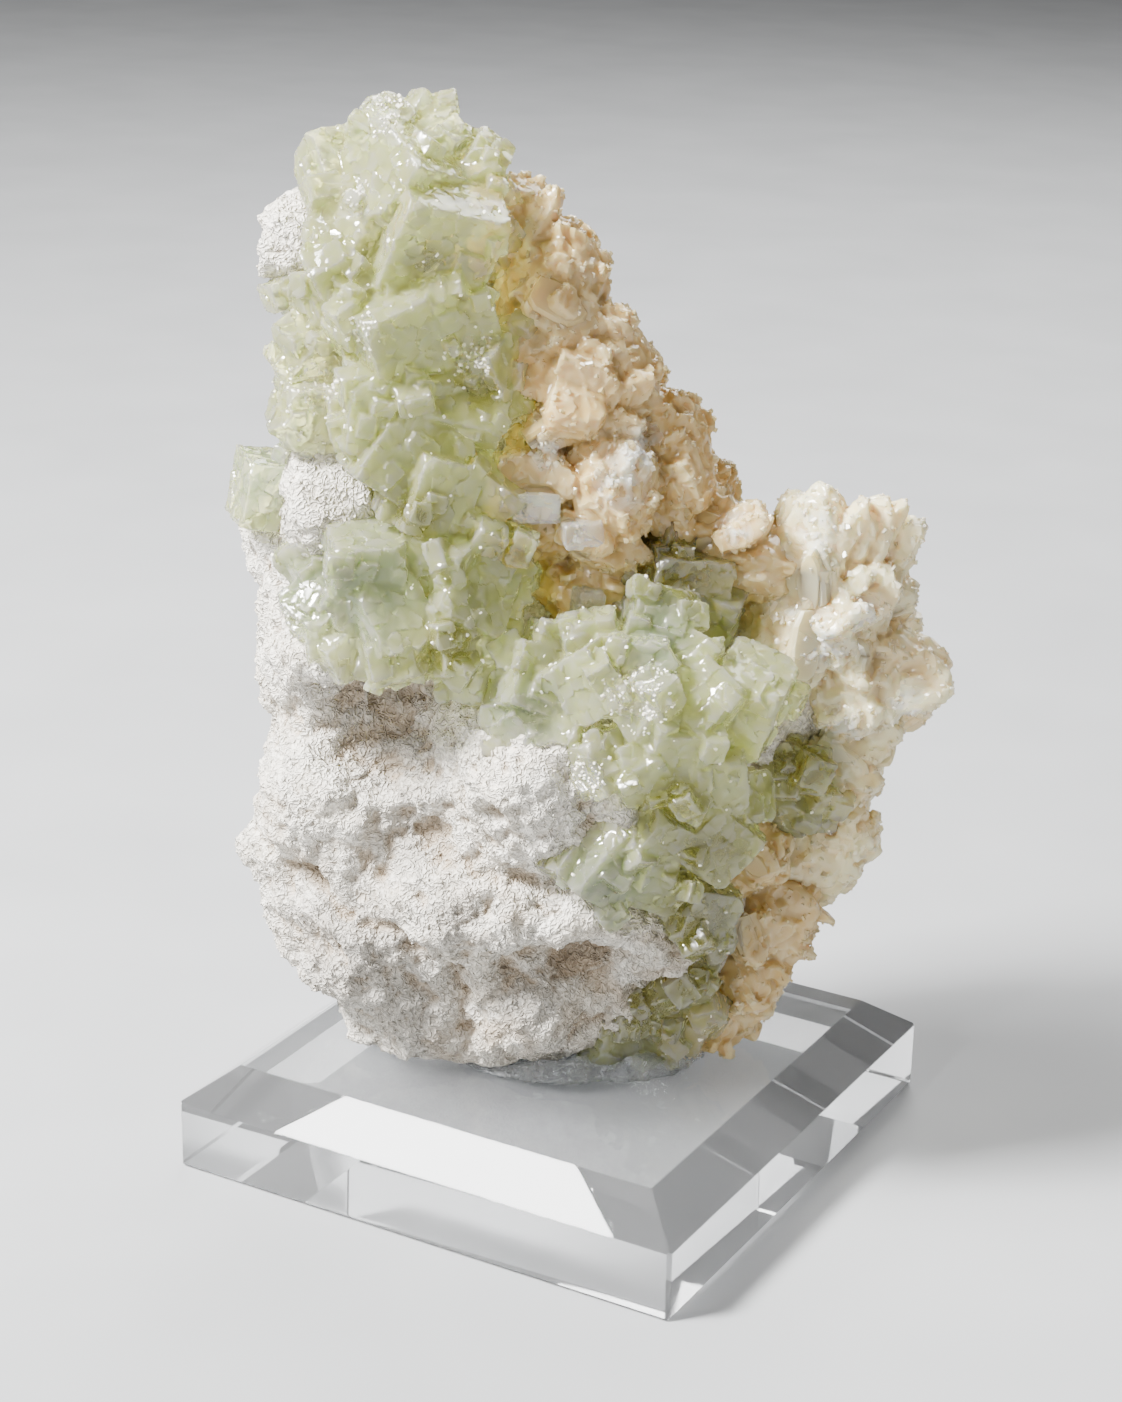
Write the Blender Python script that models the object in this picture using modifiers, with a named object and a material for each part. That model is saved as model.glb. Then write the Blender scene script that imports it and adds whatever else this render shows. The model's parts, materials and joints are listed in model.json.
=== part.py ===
"""Apophyllite cluster: green crystals and peach stilbite on white woolly matrix, on a clear block.

The specimen is drawn in millimetres, in a frame of its own: x to its right, y to its back, z up
from the underside of the block. Each finished piece is brought to metres and turned on the block.
"""

from itertools import product
from math import radians
import random

import bmesh
import bpy
import numpy as np
from mathutils import Euler, Matrix, Vector, noise

MM = 0.001

# The clear block
BLOCK_SIDE = 101.6
BLOCK_HEIGHT = 19.05
BLOCK_EDGE_HEIGHT = 12.7
BEVEL_INSET = 8.2
CORNER_CHAMFER = 1.5
FOOT_CHAMFER = 0.5

# How the specimen stands on it
SPECIMEN_TURN = radians(29.63)
TOUCHING_GAP = 0.3
GLUE_BOTTOM = BLOCK_HEIGHT + TOUCHING_GAP
FOOT_LEVEL = GLUE_BOTTOM + 1.2

# The spot before the specimen from which its front was surveyed
EYE = Vector((-0.95, -493.4, 266.0))

# How finely the lumpy masses are made
VOXEL = 2.0
ROOT_VOXEL = 1.5
GLUE_VOXEL = 1.2
SOFTENING_ROUNDS = 5
MATRIX_TRIANGLES = 1700
SLAB_TRIANGLES = 420
SPRAY_TRIANGLES = 380
CRUST_TRIANGLES = 380
GLUE_TRIANGLES = 130

# Their relief: for each step, the size of its swells and how far they push the surface
MATRIX_RELIEF = ((22, 2.2), (9, 1.3), (4, 0.6))
STILBITE_RELIEF = ((9, 0.8), (4, 0.5))
ROOT_RELIEF = ((6, 0.5),)
GLUE_RELIEF = ((7, 0.5),)
RELIEF_ROUGHNESS = 0.6
RELIEF_STEP = 2.1
RELIEF_OCTAVES = 3

# Lumps: x and z as surveyed, depth behind the middle plane, then the three half widths
MATRIX_CORE = (
    (-34, 46, 0, 20, 26, 21),
    (-38, 70, 2, 18, 24, 20),
    (-40, 97, 4, 16, 20, 22),
    (-38, 118, 4, 18, 17, 14),
    (-34, 140, 7, 14, 15, 20),
    (-35, 163, 6, 13, 13, 20),
    (-8, 40, 0, 36, 26, 24),
    (-5, 72, 4, 40, 29, 30),
    (0, 103, 12, 34, 22, 26),
    (-14, 138, 11, 22, 17, 30),
    (-22, 168, 8, 14, 10, 16),
    (30, 85, 8, 22, 21, 26),
    (24, 50, 4, 15, 18, 22),
)
MATRIX_FRONT = (
    (-3, 71, -17, 18, 17, 18),
    (-37, 95, -13, 15, 12, 7),
    (-16, 46, -14, 20, 16, 15),
    (1, 45, -22, 13, 9, 6),
    (17, 39, -20, 12, 8, 7),
    (-6, 23, -13, 13, 9, 11),
    (-28, 20, -6, 12, 10, 9),
    (-40, 42, -10, 11, 12, 11),
    (-44, 62, -9, 10, 12, 11),
    (-43, 121, -9, 8, 9, 9),
    (-46.5, 168, 1, 6.5, 8, 8.5),
    (-53, 57, -1, 6, 7, 6),
    (9.5, 66, -28, 6, 5, 3.5),
    (-7.5, 97, -16, 4, 4, 6),
)
MATRIX_HOLLOWS = (
    (-37, 80, -29, 9, 9, 9),
    (-24, 73, -30, 4, 6, 10),
    (2, 33, -30, 15, 9, 6),
    (44, 70, -13, 8, 9, 9),
    (-2, 110, -13, 9, 9, 8),
    (-12.5, 68, -34, 3, 4, 2.5),
)

GLUE_LUMPS = (
    (3, 14.6, -9.5, 22, 13.5, 7),
    (19.5, 15, -9.5, 8, 7, 6.5),
    (-10, 14.6, -9.5, 11, 9, 5),
    (3, 22.3, 6, 20, 14, 6),
)

# Stilbite lumps and blades. A blade runs from its foot to its tip: x, z and depth of each end as
# surveyed, then its width, its thickness and its turn about its own length in degrees.
SLAB_LUMPS = (
    (-10, 170, 0, 8, 8, 9),
    (-4, 158, -4, 10, 9, 14),
    (3, 143, -6, 12, 10, 14),
    (-4, 124, -9, 10, 7, 12),
    (7.5, 125.5, -14, 8, 7, 10),
    (16.5, 131, -3, 8, 9, 12),
    (27, 115, -3, 9, 9, 8),
    (6, 107, -7, 12, 8, 10),
    (-2, 160, 7, 7, 8, 12),
    (8, 140, 8, 8, 9, 13),
    (20, 122, 8, 9, 9, 11),
)
SLAB_BLADES = (
    (-12, 165, -3, -6, 177, -2, 12, 5, 20),
    (-6, 168, -4, 4.5, 162, -3, 10, 5, 40),
    (-8, 160, -10, 4, 153, -9, 12, 6, 10),
    (-4, 153, -9, 10.5, 151, -6, 12, 6, 55),
    (-10, 150, -12, 4, 143, -12, 13, 5, 15),
    (-7, 134, -16, 14.5, 147.5, -9, 8, 6, 70),
    (1, 141, -10, 16, 140, -6, 12, 5, 45),
    (14, 140, -6, 23, 122, -7, 9, 8, 30),
    (12, 132, -8, 22, 116, -9, 8, 6, 60),
    (22, 121, -6, 33, 117, -8, 9, 6, 10),
    (20, 114, -8, 36, 120, -7, 9, 6, 40),
    (26, 110, -8, 40, 110, -9, 9, 6, 75),
    (-12, 128, -14, 2, 126, -15, 9, 6, 35),
    (0, 118, -14, 12, 112, -13, 10, 6, 20),
)
SPRAY_LUMPS = (
    (40, 100, -2, 10, 11, 14),
    (48, 107, -3, 10, 10, 12),
    (50, 90, -1, 10, 11, 10),
    (48, 75, 3, 10, 11, 10),
    (45, 58, 3, 11, 12, 9),
    (52, 61, -2, 4.8, 6, 5.5),
    (44, 98, 9, 9, 8, 11),
)
SPRAY_BLADES = (
    (42, 108, -6, 45, 126.5, -7, 10, 6, 5),
    (41, 110, -3, 39.5, 125.3, -2, 7, 4, 30),
    (47, 106, -6, 55.5, 124.8, -5, 10, 5, 15),
    (49, 104, -3, 60.5, 120.5, -1, 9, 5, 35),
    (50, 103, -4, 62.3, 108, -2, 10, 5, 70),
    (49, 103, -8, 58.5, 111, -10, 10, 5, 25),
    (46, 106, -9, 50, 98, -15, 10, 5, 50),
    (44, 106, -9, 43.5, 116, -13, 9, 5, 0),
    (42, 104, -8, 40.5, 87.5, -11, 9.5, 6, 10),
    (48, 98, -7, 54.5, 93, -11, 9, 5, 60),
    (45, 90, -5, 58.5, 81.5, -9, 11, 7, 40),
    (50, 94, -3, 69.5, 89.5, -5, 13, 10, 25),
    (50, 96, -2, 63, 96.8, -4, 10, 6, 0),
    (47, 82, -3, 60, 76.5, -4, 10, 7, 20),
    (44, 78, -3, 55.5, 71, -5, 10, 6, 45),
    (36, 112, -6, 43, 118, -9, 8, 5, 60),
    (44, 104, 5, 50, 119, 11, 10, 5, 10),
    (48, 98, 7, 60, 104, 14, 10, 5, 40),
    (49, 90, 6, 62, 88, 12, 11, 6, 0),
)
CRUST_LUMPS = (
    (37, 45, -1, 9, 12, 10),
    (34, 33, -3, 8, 11, 9),
    (27, 24.5, -4, 9, 10, 7.5),
    (33, 57, -8, 8, 8, 8),
)
CRUST_BLADES = (
    (36, 50, -6, 48, 44, -7, 8, 6, 30),
    (36, 46, -6, 47, 39.5, -6, 6, 5, 70),
    (35, 41, -6, 45, 35.5, -6, 7, 5, 10),
    (33, 36, -7, 42, 31, -7, 7, 5, 50),
    (31, 31, -8, 39, 26, -7, 7, 5, 20),
    (28, 27, -8, 36.5, 21.5, -8, 7, 5, 60),
    (33, 44, -11, 36, 33, -13, 7, 5, 0),
    (30, 60, -13, 39, 52, -14, 8, 5, 30),
)

# Where a blade's sides and faces turn in to its tip, as a share of its width or thickness, and how
# steeply
SHOULDER_SHARE = 0.34
SHOULDER_SLOPE = 0.75
BROW_SHARE = 0.4
BROW_SLOPE = 0.7

# Apophyllite crystals: x, z and depth of the middle as surveyed, side, and for the ones that show
# best their turns about x, y and z in degrees
COLUMN_CRYSTALS = (
    (-33, 184.5, -3, 11), (-25, 185, -2, 10.5, 35, -15, 10), (-40, 179, -4, 12),
    (-29, 179, -10, 15, 30, 20, 45), (-18.5, 177, -5, 12, 15, -25, 20),
    (-24, 170, -13, 18, 25, 15, 20), (-38, 170, -10, 12), (-14.5, 169, -5, 10),
    (-38, 161, -13, 12), (-25, 161, -15, 11), (-43.5, 157, -5, 11),
    (-31, 153, -17, 16, 15, -20, 25), (-45, 148, -7, 10.5, 30, 20, 45),
    (-18.5, 154.5, -15, 9, 10, -20, 15), (-14, 146, -12, 13), (-19, 140, -14, 13),
    (-33, 138.5, -18, 13, 5, 5, 12), (-26.5, 140, -17, 11, 10, 10, 30),
    (-31, 130, -18, 12, 0, 35, 20), (-22.5, 132, -17, 9),
    (-45, 138, -10, 10.5, 10, 5, 20), (-45.5, 131.5, -9, 7.5),
    (-24, 124, -19, 13), (-15, 124, -16, 10), (-14.5, 114, -17, 11),
    (-22, 112, -20, 11), (-9.5, 110, -13, 7), (-19, 104, -20, 12),
    (-46, 111.5, -12, 8), (-36.5, 109, -20, 14, 10, 0, 15),
    (-43, 101, -18, 12), (-33, 100, -23, 13), (-40, 95, -22, 9),
    (-30, 94, -24, 10), (-21, 97, -22, 12), (-17.5, 91, -21, 9), (-12, 101, -17, 8),
)
BOW_CRYSTALS = (
    (-7, 88, -25, 12), (-9, 82, -26, 9), (-2, 94, -21, 10), (15.5, 100, -20, 11, 60, 15, 10),
    (5, 97, -23, 9), (13, 93, -27, 10), (5, 89, -29, 11), (21, 93, -24, 10),
    (14, 86, -31, 11), (32.5, 86, -24, 14, 15, 20, -15), (25, 86, -28, 11),
    (19.5, 78.5, -31, 11, 25, 10, 20), (7, 74, -32, 10), (13, 73, -32, 11),
    (27, 71.5, -28, 11, 10, -8, 12), (20, 69, -29, 9), (16.5, 60, -29, 10, 20, 30, 30),
    (27, 60, -25, 13, 10, 40, 20), (7, 54, -28, 13, 15, 35, 40),
    (17.5, 51.5, -27, 11, 30, 20, 10), (25, 45, -23, 11, 10, 20, 35), (0, 81, -28, 9),
    (32, 67, -23, 9),
)
SHADED_CRYSTALS = (
    (20, 109, -10, 13, 5, 10, 15), (14, 106, -12, 9), (26, 105, -10, 9), (18, 116, -8, 9),
)
POCKET_CRYSTALS = ((43, 73, -8, 10), (46, 68, -7, 9), (39.5, 74, -9, 7), (42, 65.5, -8, 8))
FOOT_CRYSTALS = (
    (10.5, 20.5, -14, 11, 5, 15, 30), (14, 27.5, -13, 9), (6.5, 17.5, -14, 7),
    (21, 30, -14, 12), (19, 21.5, -13, 11), (25.5, 35, -14, 9), (27, 40, -17, 8),
    (26, 24, -12, 9),
)
CORNER_CRYSTAL = (-52.8, 123.6, -4, 11.3, 4, 10, 22)
# The small clear ones: x and z as surveyed, side, and turns
LONE_CRYSTALS = {
    "clear_crystal_flat": (-6, 122, 5.2, 0, 90, 0),
    "clear_crystal_low": (2.3, 117, 4.2, 0, 85, 12),
    "clear_crystal_upright": (3.3, 102.8, 4.8, 0, 6, 20),
}
LONE_STRETCH = Vector((1.0, 1.0, 1.6))
LONE_PROUD = 0.25
LONE_SEED = 16
CORNER_STRETCH = Vector((1.0, 1.0, 1.05))

# A depth that lies behind every surface
FAR_DEPTH = 40.0

# How far a crystal's sides, turn and cut corners stray from a plain cube's
SIDE_RANGE = (0.85, 1.1)
TURN_RANGE = (-40, 40)
CUT_RANGE = (0.06, 0.2)

# Small crystals beside the listed ones, and the mass behind them
DAUGHTER_EVERY = 4
DAUGHTER_SHARE = 0.55
DAUGHTER_RANGE = (0.7, 1.1)
DAUGHTER_OFFSET_SHARE = 0.5
ROOT_SHARE = 0.6
ROOT_DEPTH_SHARE = 0.5
ROOT_TRIANGLES = 5
KEPT_AFTER_UNION = 0.7

# Corners that face less far back than this are cut, the others are rooted
CLIPPED_CORNER_Y = 0.0

CLUSTERS = {
    "apophyllite_column": COLUMN_CRYSTALS,
    "apophyllite_bow_cluster": BOW_CRYSTALS,
    "apophyllite_shaded_cluster": SHADED_CRYSTALS,
    "apophyllite_pocket_cluster": POCKET_CRYSTALS,
    "apophyllite_foot_cluster": FOOT_CRYSTALS,
}

COLOURS = {
    "acrylic": ((0.90, 0.92, 0.93), 0.05),
    "glue": ((0.80, 0.86, 0.88), 0.25),
    "matrix": ((0.82, 0.79, 0.75), 0.9),
    "stilbite": ((0.78, 0.64, 0.50), 0.55),
    "apophyllite": ((0.50, 0.62, 0.38), 0.2),
    "clear": ((0.75, 0.78, 0.70), 0.1),
}


def clear_objects():
    for old in list(bpy.data.objects):
        bpy.data.objects.remove(old, do_unlink=True)


def new_collection(name, shown=True):
    made = bpy.data.collections.new(name)
    bpy.context.scene.collection.children.link(made)
    made.hide_render = not shown
    return made


def new_material(name):
    colour, roughness = COLOURS[name]
    made = bpy.data.materials.new(name)
    made.use_nodes = True
    shader = made.node_tree.nodes["Principled BSDF"]
    shader.inputs["Base Color"].default_value = (*colour, 1.0)
    shader.inputs["Roughness"].default_value = roughness
    shader.inputs["Metallic"].default_value = 0.0
    made.diffuse_color = (*colour, 1.0)
    return made


def new_piece(name, bm, collection):
    """Object from a bmesh, which is freed."""
    bmesh.ops.recalc_face_normals(bm, faces=bm.faces)
    mesh = bpy.data.meshes.new(name)
    bm.to_mesh(mesh)
    bm.free()
    made = bpy.data.objects.new(name, mesh)
    collection.objects.link(made)
    return made


def settle(piece):
    """Puts the result of a piece's modifiers in its mesh."""
    graph = bpy.context.evaluated_depsgraph_get()
    settled = bpy.data.meshes.new_from_object(piece.evaluated_get(graph))
    piece.modifiers.clear()
    piece.data = settled


def seen(x, z, depth):
    """Place at this depth of a point surveyed as x and z on the middle plane."""
    nearness = (depth - EYE.y) / -EYE.y
    return Vector(
        (EYE.x + (x - EYE.x) * nearness, depth, EYE.z + (z - EYE.z) * nearness)
    )


def clip(bm, point, normal):
    """Cuts a convex bmesh off at a plane and closes the cut."""
    cut = bmesh.ops.bisect_plane(
        bm,
        geom=[*bm.verts, *bm.edges, *bm.faces],
        dist=1e-5,
        plane_co=point,
        plane_no=normal,
        clear_outer=True,
    )
    edges = [part for part in cut["geom_cut"] if isinstance(part, bmesh.types.BMEdge)]
    if edges:
        bmesh.ops.contextual_create(bm, geom=edges)


def make_block(collection):
    """Square block: bevels around its top, small chamfers on its upright edges and its foot."""
    bm = bmesh.new()
    bmesh.ops.create_cube(
        bm, size=1, matrix=Matrix.Diagonal((BLOCK_SIDE, BLOCK_SIDE, BLOCK_HEIGHT, 1))
    )
    bmesh.ops.translate(bm, vec=(0, 0, BLOCK_HEIGHT / 2), verts=bm.verts)
    half = BLOCK_SIDE / 2
    drop = BLOCK_HEIGHT - BLOCK_EDGE_HEIGHT
    for x, y in ((1, 0), (-1, 0), (0, 1), (0, -1)):
        side = Vector((x, y, 0))
        clip(bm, side * half + Vector((0, 0, BLOCK_EDGE_HEIGHT)), side * drop + Vector((0, 0, BEVEL_INSET)))
        clip(bm, side * half + Vector((0, 0, FOOT_CHAMFER)), side - Vector((0, 0, 1)))
    for x, y in product((-1, 1), repeat=2):
        corner = Vector((x, y, 0))
        clip(bm, corner * (half - CORNER_CHAMFER / 2), corner)
    return new_piece("display_base", bm, collection)


def add_lump(bm, lump, subdivisions=3):
    x, z, depth, wide, deep, high = lump
    place = Matrix.Translation(seen(x, z, depth)) @ Matrix.Diagonal((wide, deep, high, 1))
    bmesh.ops.create_icosphere(bm, subdivisions=subdivisions, radius=1, matrix=place)


def remesh(piece, voxel):
    fused = piece.modifiers.new("fused", "REMESH")
    fused.mode = "VOXEL"
    fused.voxel_size = voxel
    fused.adaptivity = 0
    settle(piece)


def soften(piece):
    softer = piece.modifiers.new("softer", "SMOOTH")
    softer.factor = 0.5
    softer.iterations = SOFTENING_ROUNDS
    settle(piece)


def roughen(piece, steps):
    """Pushes the surface in and out along its normals, for each size and height in steps."""
    pushes = []
    for vertex in piece.data.vertices:
        push = sum(
            height * noise.fractal(vertex.co / size, RELIEF_ROUGHNESS, RELIEF_STEP, RELIEF_OCTAVES)
            for size, height in steps
        )
        pushes.append(vertex.normal * push)
    for vertex, push in zip(piece.data.vertices, pushes):
        vertex.co += push
    piece.data.update()


def thin_out(piece, triangles):
    piece.data.calc_loop_triangles()
    fewer = piece.modifiers.new("fewer", "DECIMATE")
    fewer.ratio = min(1.0, triangles / len(piece.data.loop_triangles))
    fewer.use_collapse_triangulate = True
    settle(piece)


def drop_slivers(piece):
    """Collapses the short edges that a union leaves where its pieces only just cross."""
    triangulated = piece.modifiers.new("triangulated", "TRIANGULATE")
    triangulated.min_vertices = 4
    settle(piece)
    piece.data.calc_loop_triangles()
    thin_out(piece, len(piece.data.loop_triangles) * KEPT_AFTER_UNION)


def combine(piece, operation, others):
    """Boolean of a piece with all the objects of a collection."""
    boolean = piece.modifiers.new("boolean", "BOOLEAN")
    boolean.operation = operation
    boolean.solver = "EXACT"
    boolean.operand_type = "COLLECTION"
    boolean.collection = others
    settle(piece)


def fuse(name, pieces):
    """One solid from pieces that overlap, in the first of them."""
    first, *others = pieces
    gathered = bpy.data.collections.new(name + "_pieces")
    for piece in others:
        gathered.objects.link(piece)
    combine(first, "UNION", gathered)
    for piece in others:
        bpy.data.objects.remove(piece, do_unlink=True)
    bpy.data.collections.remove(gathered)
    first.name = name
    return first


def boxes_meet(one, other):
    """Whether the boxes around two pieces of the specimen's frame overlap."""
    for axis in range(3):
        ours = [corner[axis] for corner in one.bound_box]
        theirs = [corner[axis] for corner in other.bound_box]
        if max(ours) < min(theirs) or max(theirs) < min(ours):
            return False
    return True


def islands(bm):
    """The separate closed shells of a bmesh, each as a list of faces."""
    left = set(bm.faces)
    found = []
    while left:
        shell = []
        edge_of = [left.pop()]
        while edge_of:
            face = edge_of.pop()
            shell.append(face)
            for edge in face.edges:
                for other in edge.link_faces:
                    if other in left:
                        left.remove(other)
                        edge_of.append(other)
        found.append(shell)
    return found


def shell_volume(shell):
    total = 0.0
    for face in shell:
        a = face.verts[0].co
        for b, c in zip(face.verts[1:], face.verts[2:]):
            total += a.dot(b.co.cross(c.co)) / 6
    return total


def keep_main_shell(piece):
    """Drops the crumbs and sealed bubbles that cutting leaves."""
    bm = bmesh.new()
    bm.from_mesh(piece.data)
    shells = islands(bm)
    main = max(shells, key=shell_volume)
    for shell in shells:
        if shell is not main:
            bmesh.ops.delete(bm, geom=shell, context="FACES")
    bmesh.ops.dissolve_limit(bm, angle_limit=radians(0.3), verts=bm.verts, edges=bm.edges)
    bmesh.ops.triangulate(bm, faces=bm.faces)
    bm.to_mesh(piece.data)
    bm.free()


def add_swollen(piece, cutters, gap=TOUCHING_GAP):
    """Adds a copy of a piece whose faces stand gap further out, to cut its neighbours clear of it."""
    bm = bmesh.new()
    bm.from_mesh(piece.data)
    bm.normal_update()
    moves = {}
    for vertex in bm.verts:
        normals = np.array([face.normal for face in vertex.link_faces])
        move = np.linalg.lstsq(normals, np.full(len(normals), gap), rcond=0.05)[0]
        moves[vertex] = Vector(move)
    for vertex, move in moves.items():
        vertex.co += move
    made = new_piece(piece.name + "_swollen", bm, cutters)
    made.hide_render = True
    made.display_type = "WIRE"


def scoop_out(piece, hollows):
    scoops = bpy.data.collections.new("scoops")
    for hollow in hollows:
        bm = bmesh.new()
        add_lump(bm, hollow)
        new_piece("scoop", bm, scoops)
    combine(piece, "DIFFERENCE", scoops)
    for scoop in list(scoops.objects):
        bpy.data.objects.remove(scoop, do_unlink=True)
    bpy.data.collections.remove(scoops)


def make_mass(name, lumps, triangles, steps, collection, hollows=(), voxel=VOXEL):
    """Rough rounded mass from overlapping lumps, with hollows scooped out of it."""
    bm = bmesh.new()
    for lump in lumps:
        add_lump(bm, lump)
    piece = new_piece(name, bm, collection)
    remesh(piece, voxel)
    if hollows:
        scoop_out(piece, hollows)
        remesh(piece, voxel)
    soften(piece)
    roughen(piece, steps)
    thin_out(piece, triangles)
    for vertex in piece.data.vertices:
        vertex.co.z = max(vertex.co.z, FOOT_LEVEL)
    return piece


def make_blade(row, collection):
    """Flat stilbite blade with a blunt roof-shaped end."""
    x0, z0, depth0, x1, z1, depth1, width, thickness, roll = row
    foot, tip = seen(x0, z0, depth0), seen(x1, z1, depth1)
    length = (tip - foot).length
    bm = bmesh.new()
    bmesh.ops.create_cube(bm, size=1, matrix=Matrix.Diagonal((width, thickness, length, 1)))
    bmesh.ops.translate(bm, vec=(0, 0, length / 2), verts=bm.verts)
    for side in (-1, 1):
        shoulder = Vector((side * width / 2, 0, length - width * SHOULDER_SHARE))
        clip(bm, shoulder, Vector((side * SHOULDER_SLOPE, 0, 1)))
        brow = Vector((0, side * thickness / 2, length - thickness * BROW_SHARE))
        clip(bm, brow, Vector((0, side, BROW_SLOPE)))
    facing = (tip - foot).to_track_quat("Z", "Y").to_matrix().to_4x4()
    turn = Matrix.Rotation(radians(roll), 4, "Z")
    bmesh.ops.transform(bm, matrix=Matrix.Translation(foot) @ facing @ turn, verts=bm.verts)
    return new_piece("blade", bm, collection)


def make_stilbite(name, lumps, blades, triangles, collection):
    """The pieces of a stilbite crust: its mass, then its blades."""
    pieces = [make_mass(name, lumps, triangles, STILBITE_RELIEF, collection)]
    for row in blades:
        pieces.append(make_blade(row, collection))
    return pieces


def make_crystal(middle, side, turn, stretch, draw, collection):
    """Near-cubic crystal whose outer corners are cut by small slanting faces."""
    bm = bmesh.new()
    bmesh.ops.create_cube(bm, size=side, matrix=Matrix.Diagonal((*stretch, 1)))
    rotation = Euler(turn).to_matrix()
    for corner in product((-1, 1), repeat=3):
        reach = Vector([sign * side / 2 * long for sign, long in zip(corner, stretch)])
        normal = Vector(corner).normalized()
        depth = side * draw.uniform(*CUT_RANGE)
        if (rotation @ normal).y < CLIPPED_CORNER_Y:
            clip(bm, reach - normal * depth, normal)
    place = Matrix.Translation(middle) @ rotation.to_4x4()
    bmesh.ops.transform(bm, matrix=place, verts=bm.verts)
    return new_piece("crystal", bm, collection)


def random_turn(draw):
    return [radians(draw.uniform(*TURN_RANGE)) for _ in range(3)]


def make_cluster(name, rows, seed, collection):
    """The pieces of a cluster: the mass that its crystals spring from, then the crystals."""
    draw = random.Random(seed)
    crystals = []
    roots = []
    for number, (x, z, depth, side, *turn) in enumerate(rows):
        middle = seen(x, z, depth)
        turned = [radians(angle) for angle in turn] or random_turn(draw)
        stretch = [draw.uniform(*SIDE_RANGE) for _ in range(3)]
        crystals.append(make_crystal(middle, side, turned, stretch, draw, collection))
        root = side * ROOT_SHARE
        roots.append((x, z, depth + side * ROOT_DEPTH_SHARE, root, root, root))
        if number % DAUGHTER_EVERY == 0:
            way = Vector((draw.uniform(-1, 1), draw.uniform(-0.9, 0), draw.uniform(-1, 1)))
            beside = middle + way.normalized() * side * DAUGHTER_OFFSET_SHARE
            small = side * DAUGHTER_SHARE * draw.uniform(*DAUGHTER_RANGE)
            crystals.append(
                make_crystal(beside, small, random_turn(draw), (1, 1, 1), draw, collection)
            )
    triangles = ROOT_TRIANGLES * len(rows)
    mass = make_mass(name, roots, triangles, ROOT_RELIEF, collection, voxel=ROOT_VOXEL)
    return [mass, *crystals]


def surface_at(carrier, x, z):
    """Point of a carrier's surface that shows at x and z from the front."""
    far = seen(x, z, FAR_DEPTH)
    hit, place, _, _ = carrier.ray_cast(EYE, (far - EYE).normalized())
    return place if hit else far


def make_lone_crystal(name, row, carrier, draw, collection):
    """Stubby clear crystal that is rooted in a carrier's surface."""
    x, z, side, *turn = row
    middle = surface_at(carrier, x, z) - Vector((0, side * LONE_PROUD, 0))
    turned = [radians(angle) for angle in turn]
    crystal = make_crystal(middle, side, turned, LONE_STRETCH, draw, collection)
    crystal.name = name
    return crystal


def make_glue(collection):
    """Low lumpy pad that the specimen's foot is sunk in."""
    bm = bmesh.new()
    for lump in GLUE_LUMPS:
        add_lump(bm, lump)
    pad = new_piece("mounting_glue", bm, collection)
    remesh(pad, GLUE_VOXEL)
    soften(pad)
    roughen(pad, GLUE_RELIEF)
    for vertex in pad.data.vertices:
        vertex.co.z = max(vertex.co.z, GLUE_BOTTOM)
    thin_out(pad, GLUE_TRIANGLES)
    return pad


def finish_node(piece, material, parent):
    """Brings a piece to metres around its own middle, and hangs it on its parent."""
    corners = [Vector(corner) for corner in piece.bound_box]
    middle = (corners[0] + corners[6]) / 2
    piece.data.transform(Matrix.Scale(MM, 4) @ Matrix.Translation(-middle))
    piece.location = middle * MM
    piece.parent = parent
    piece.data.materials.clear()
    piece.data.materials.append(material)


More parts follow.
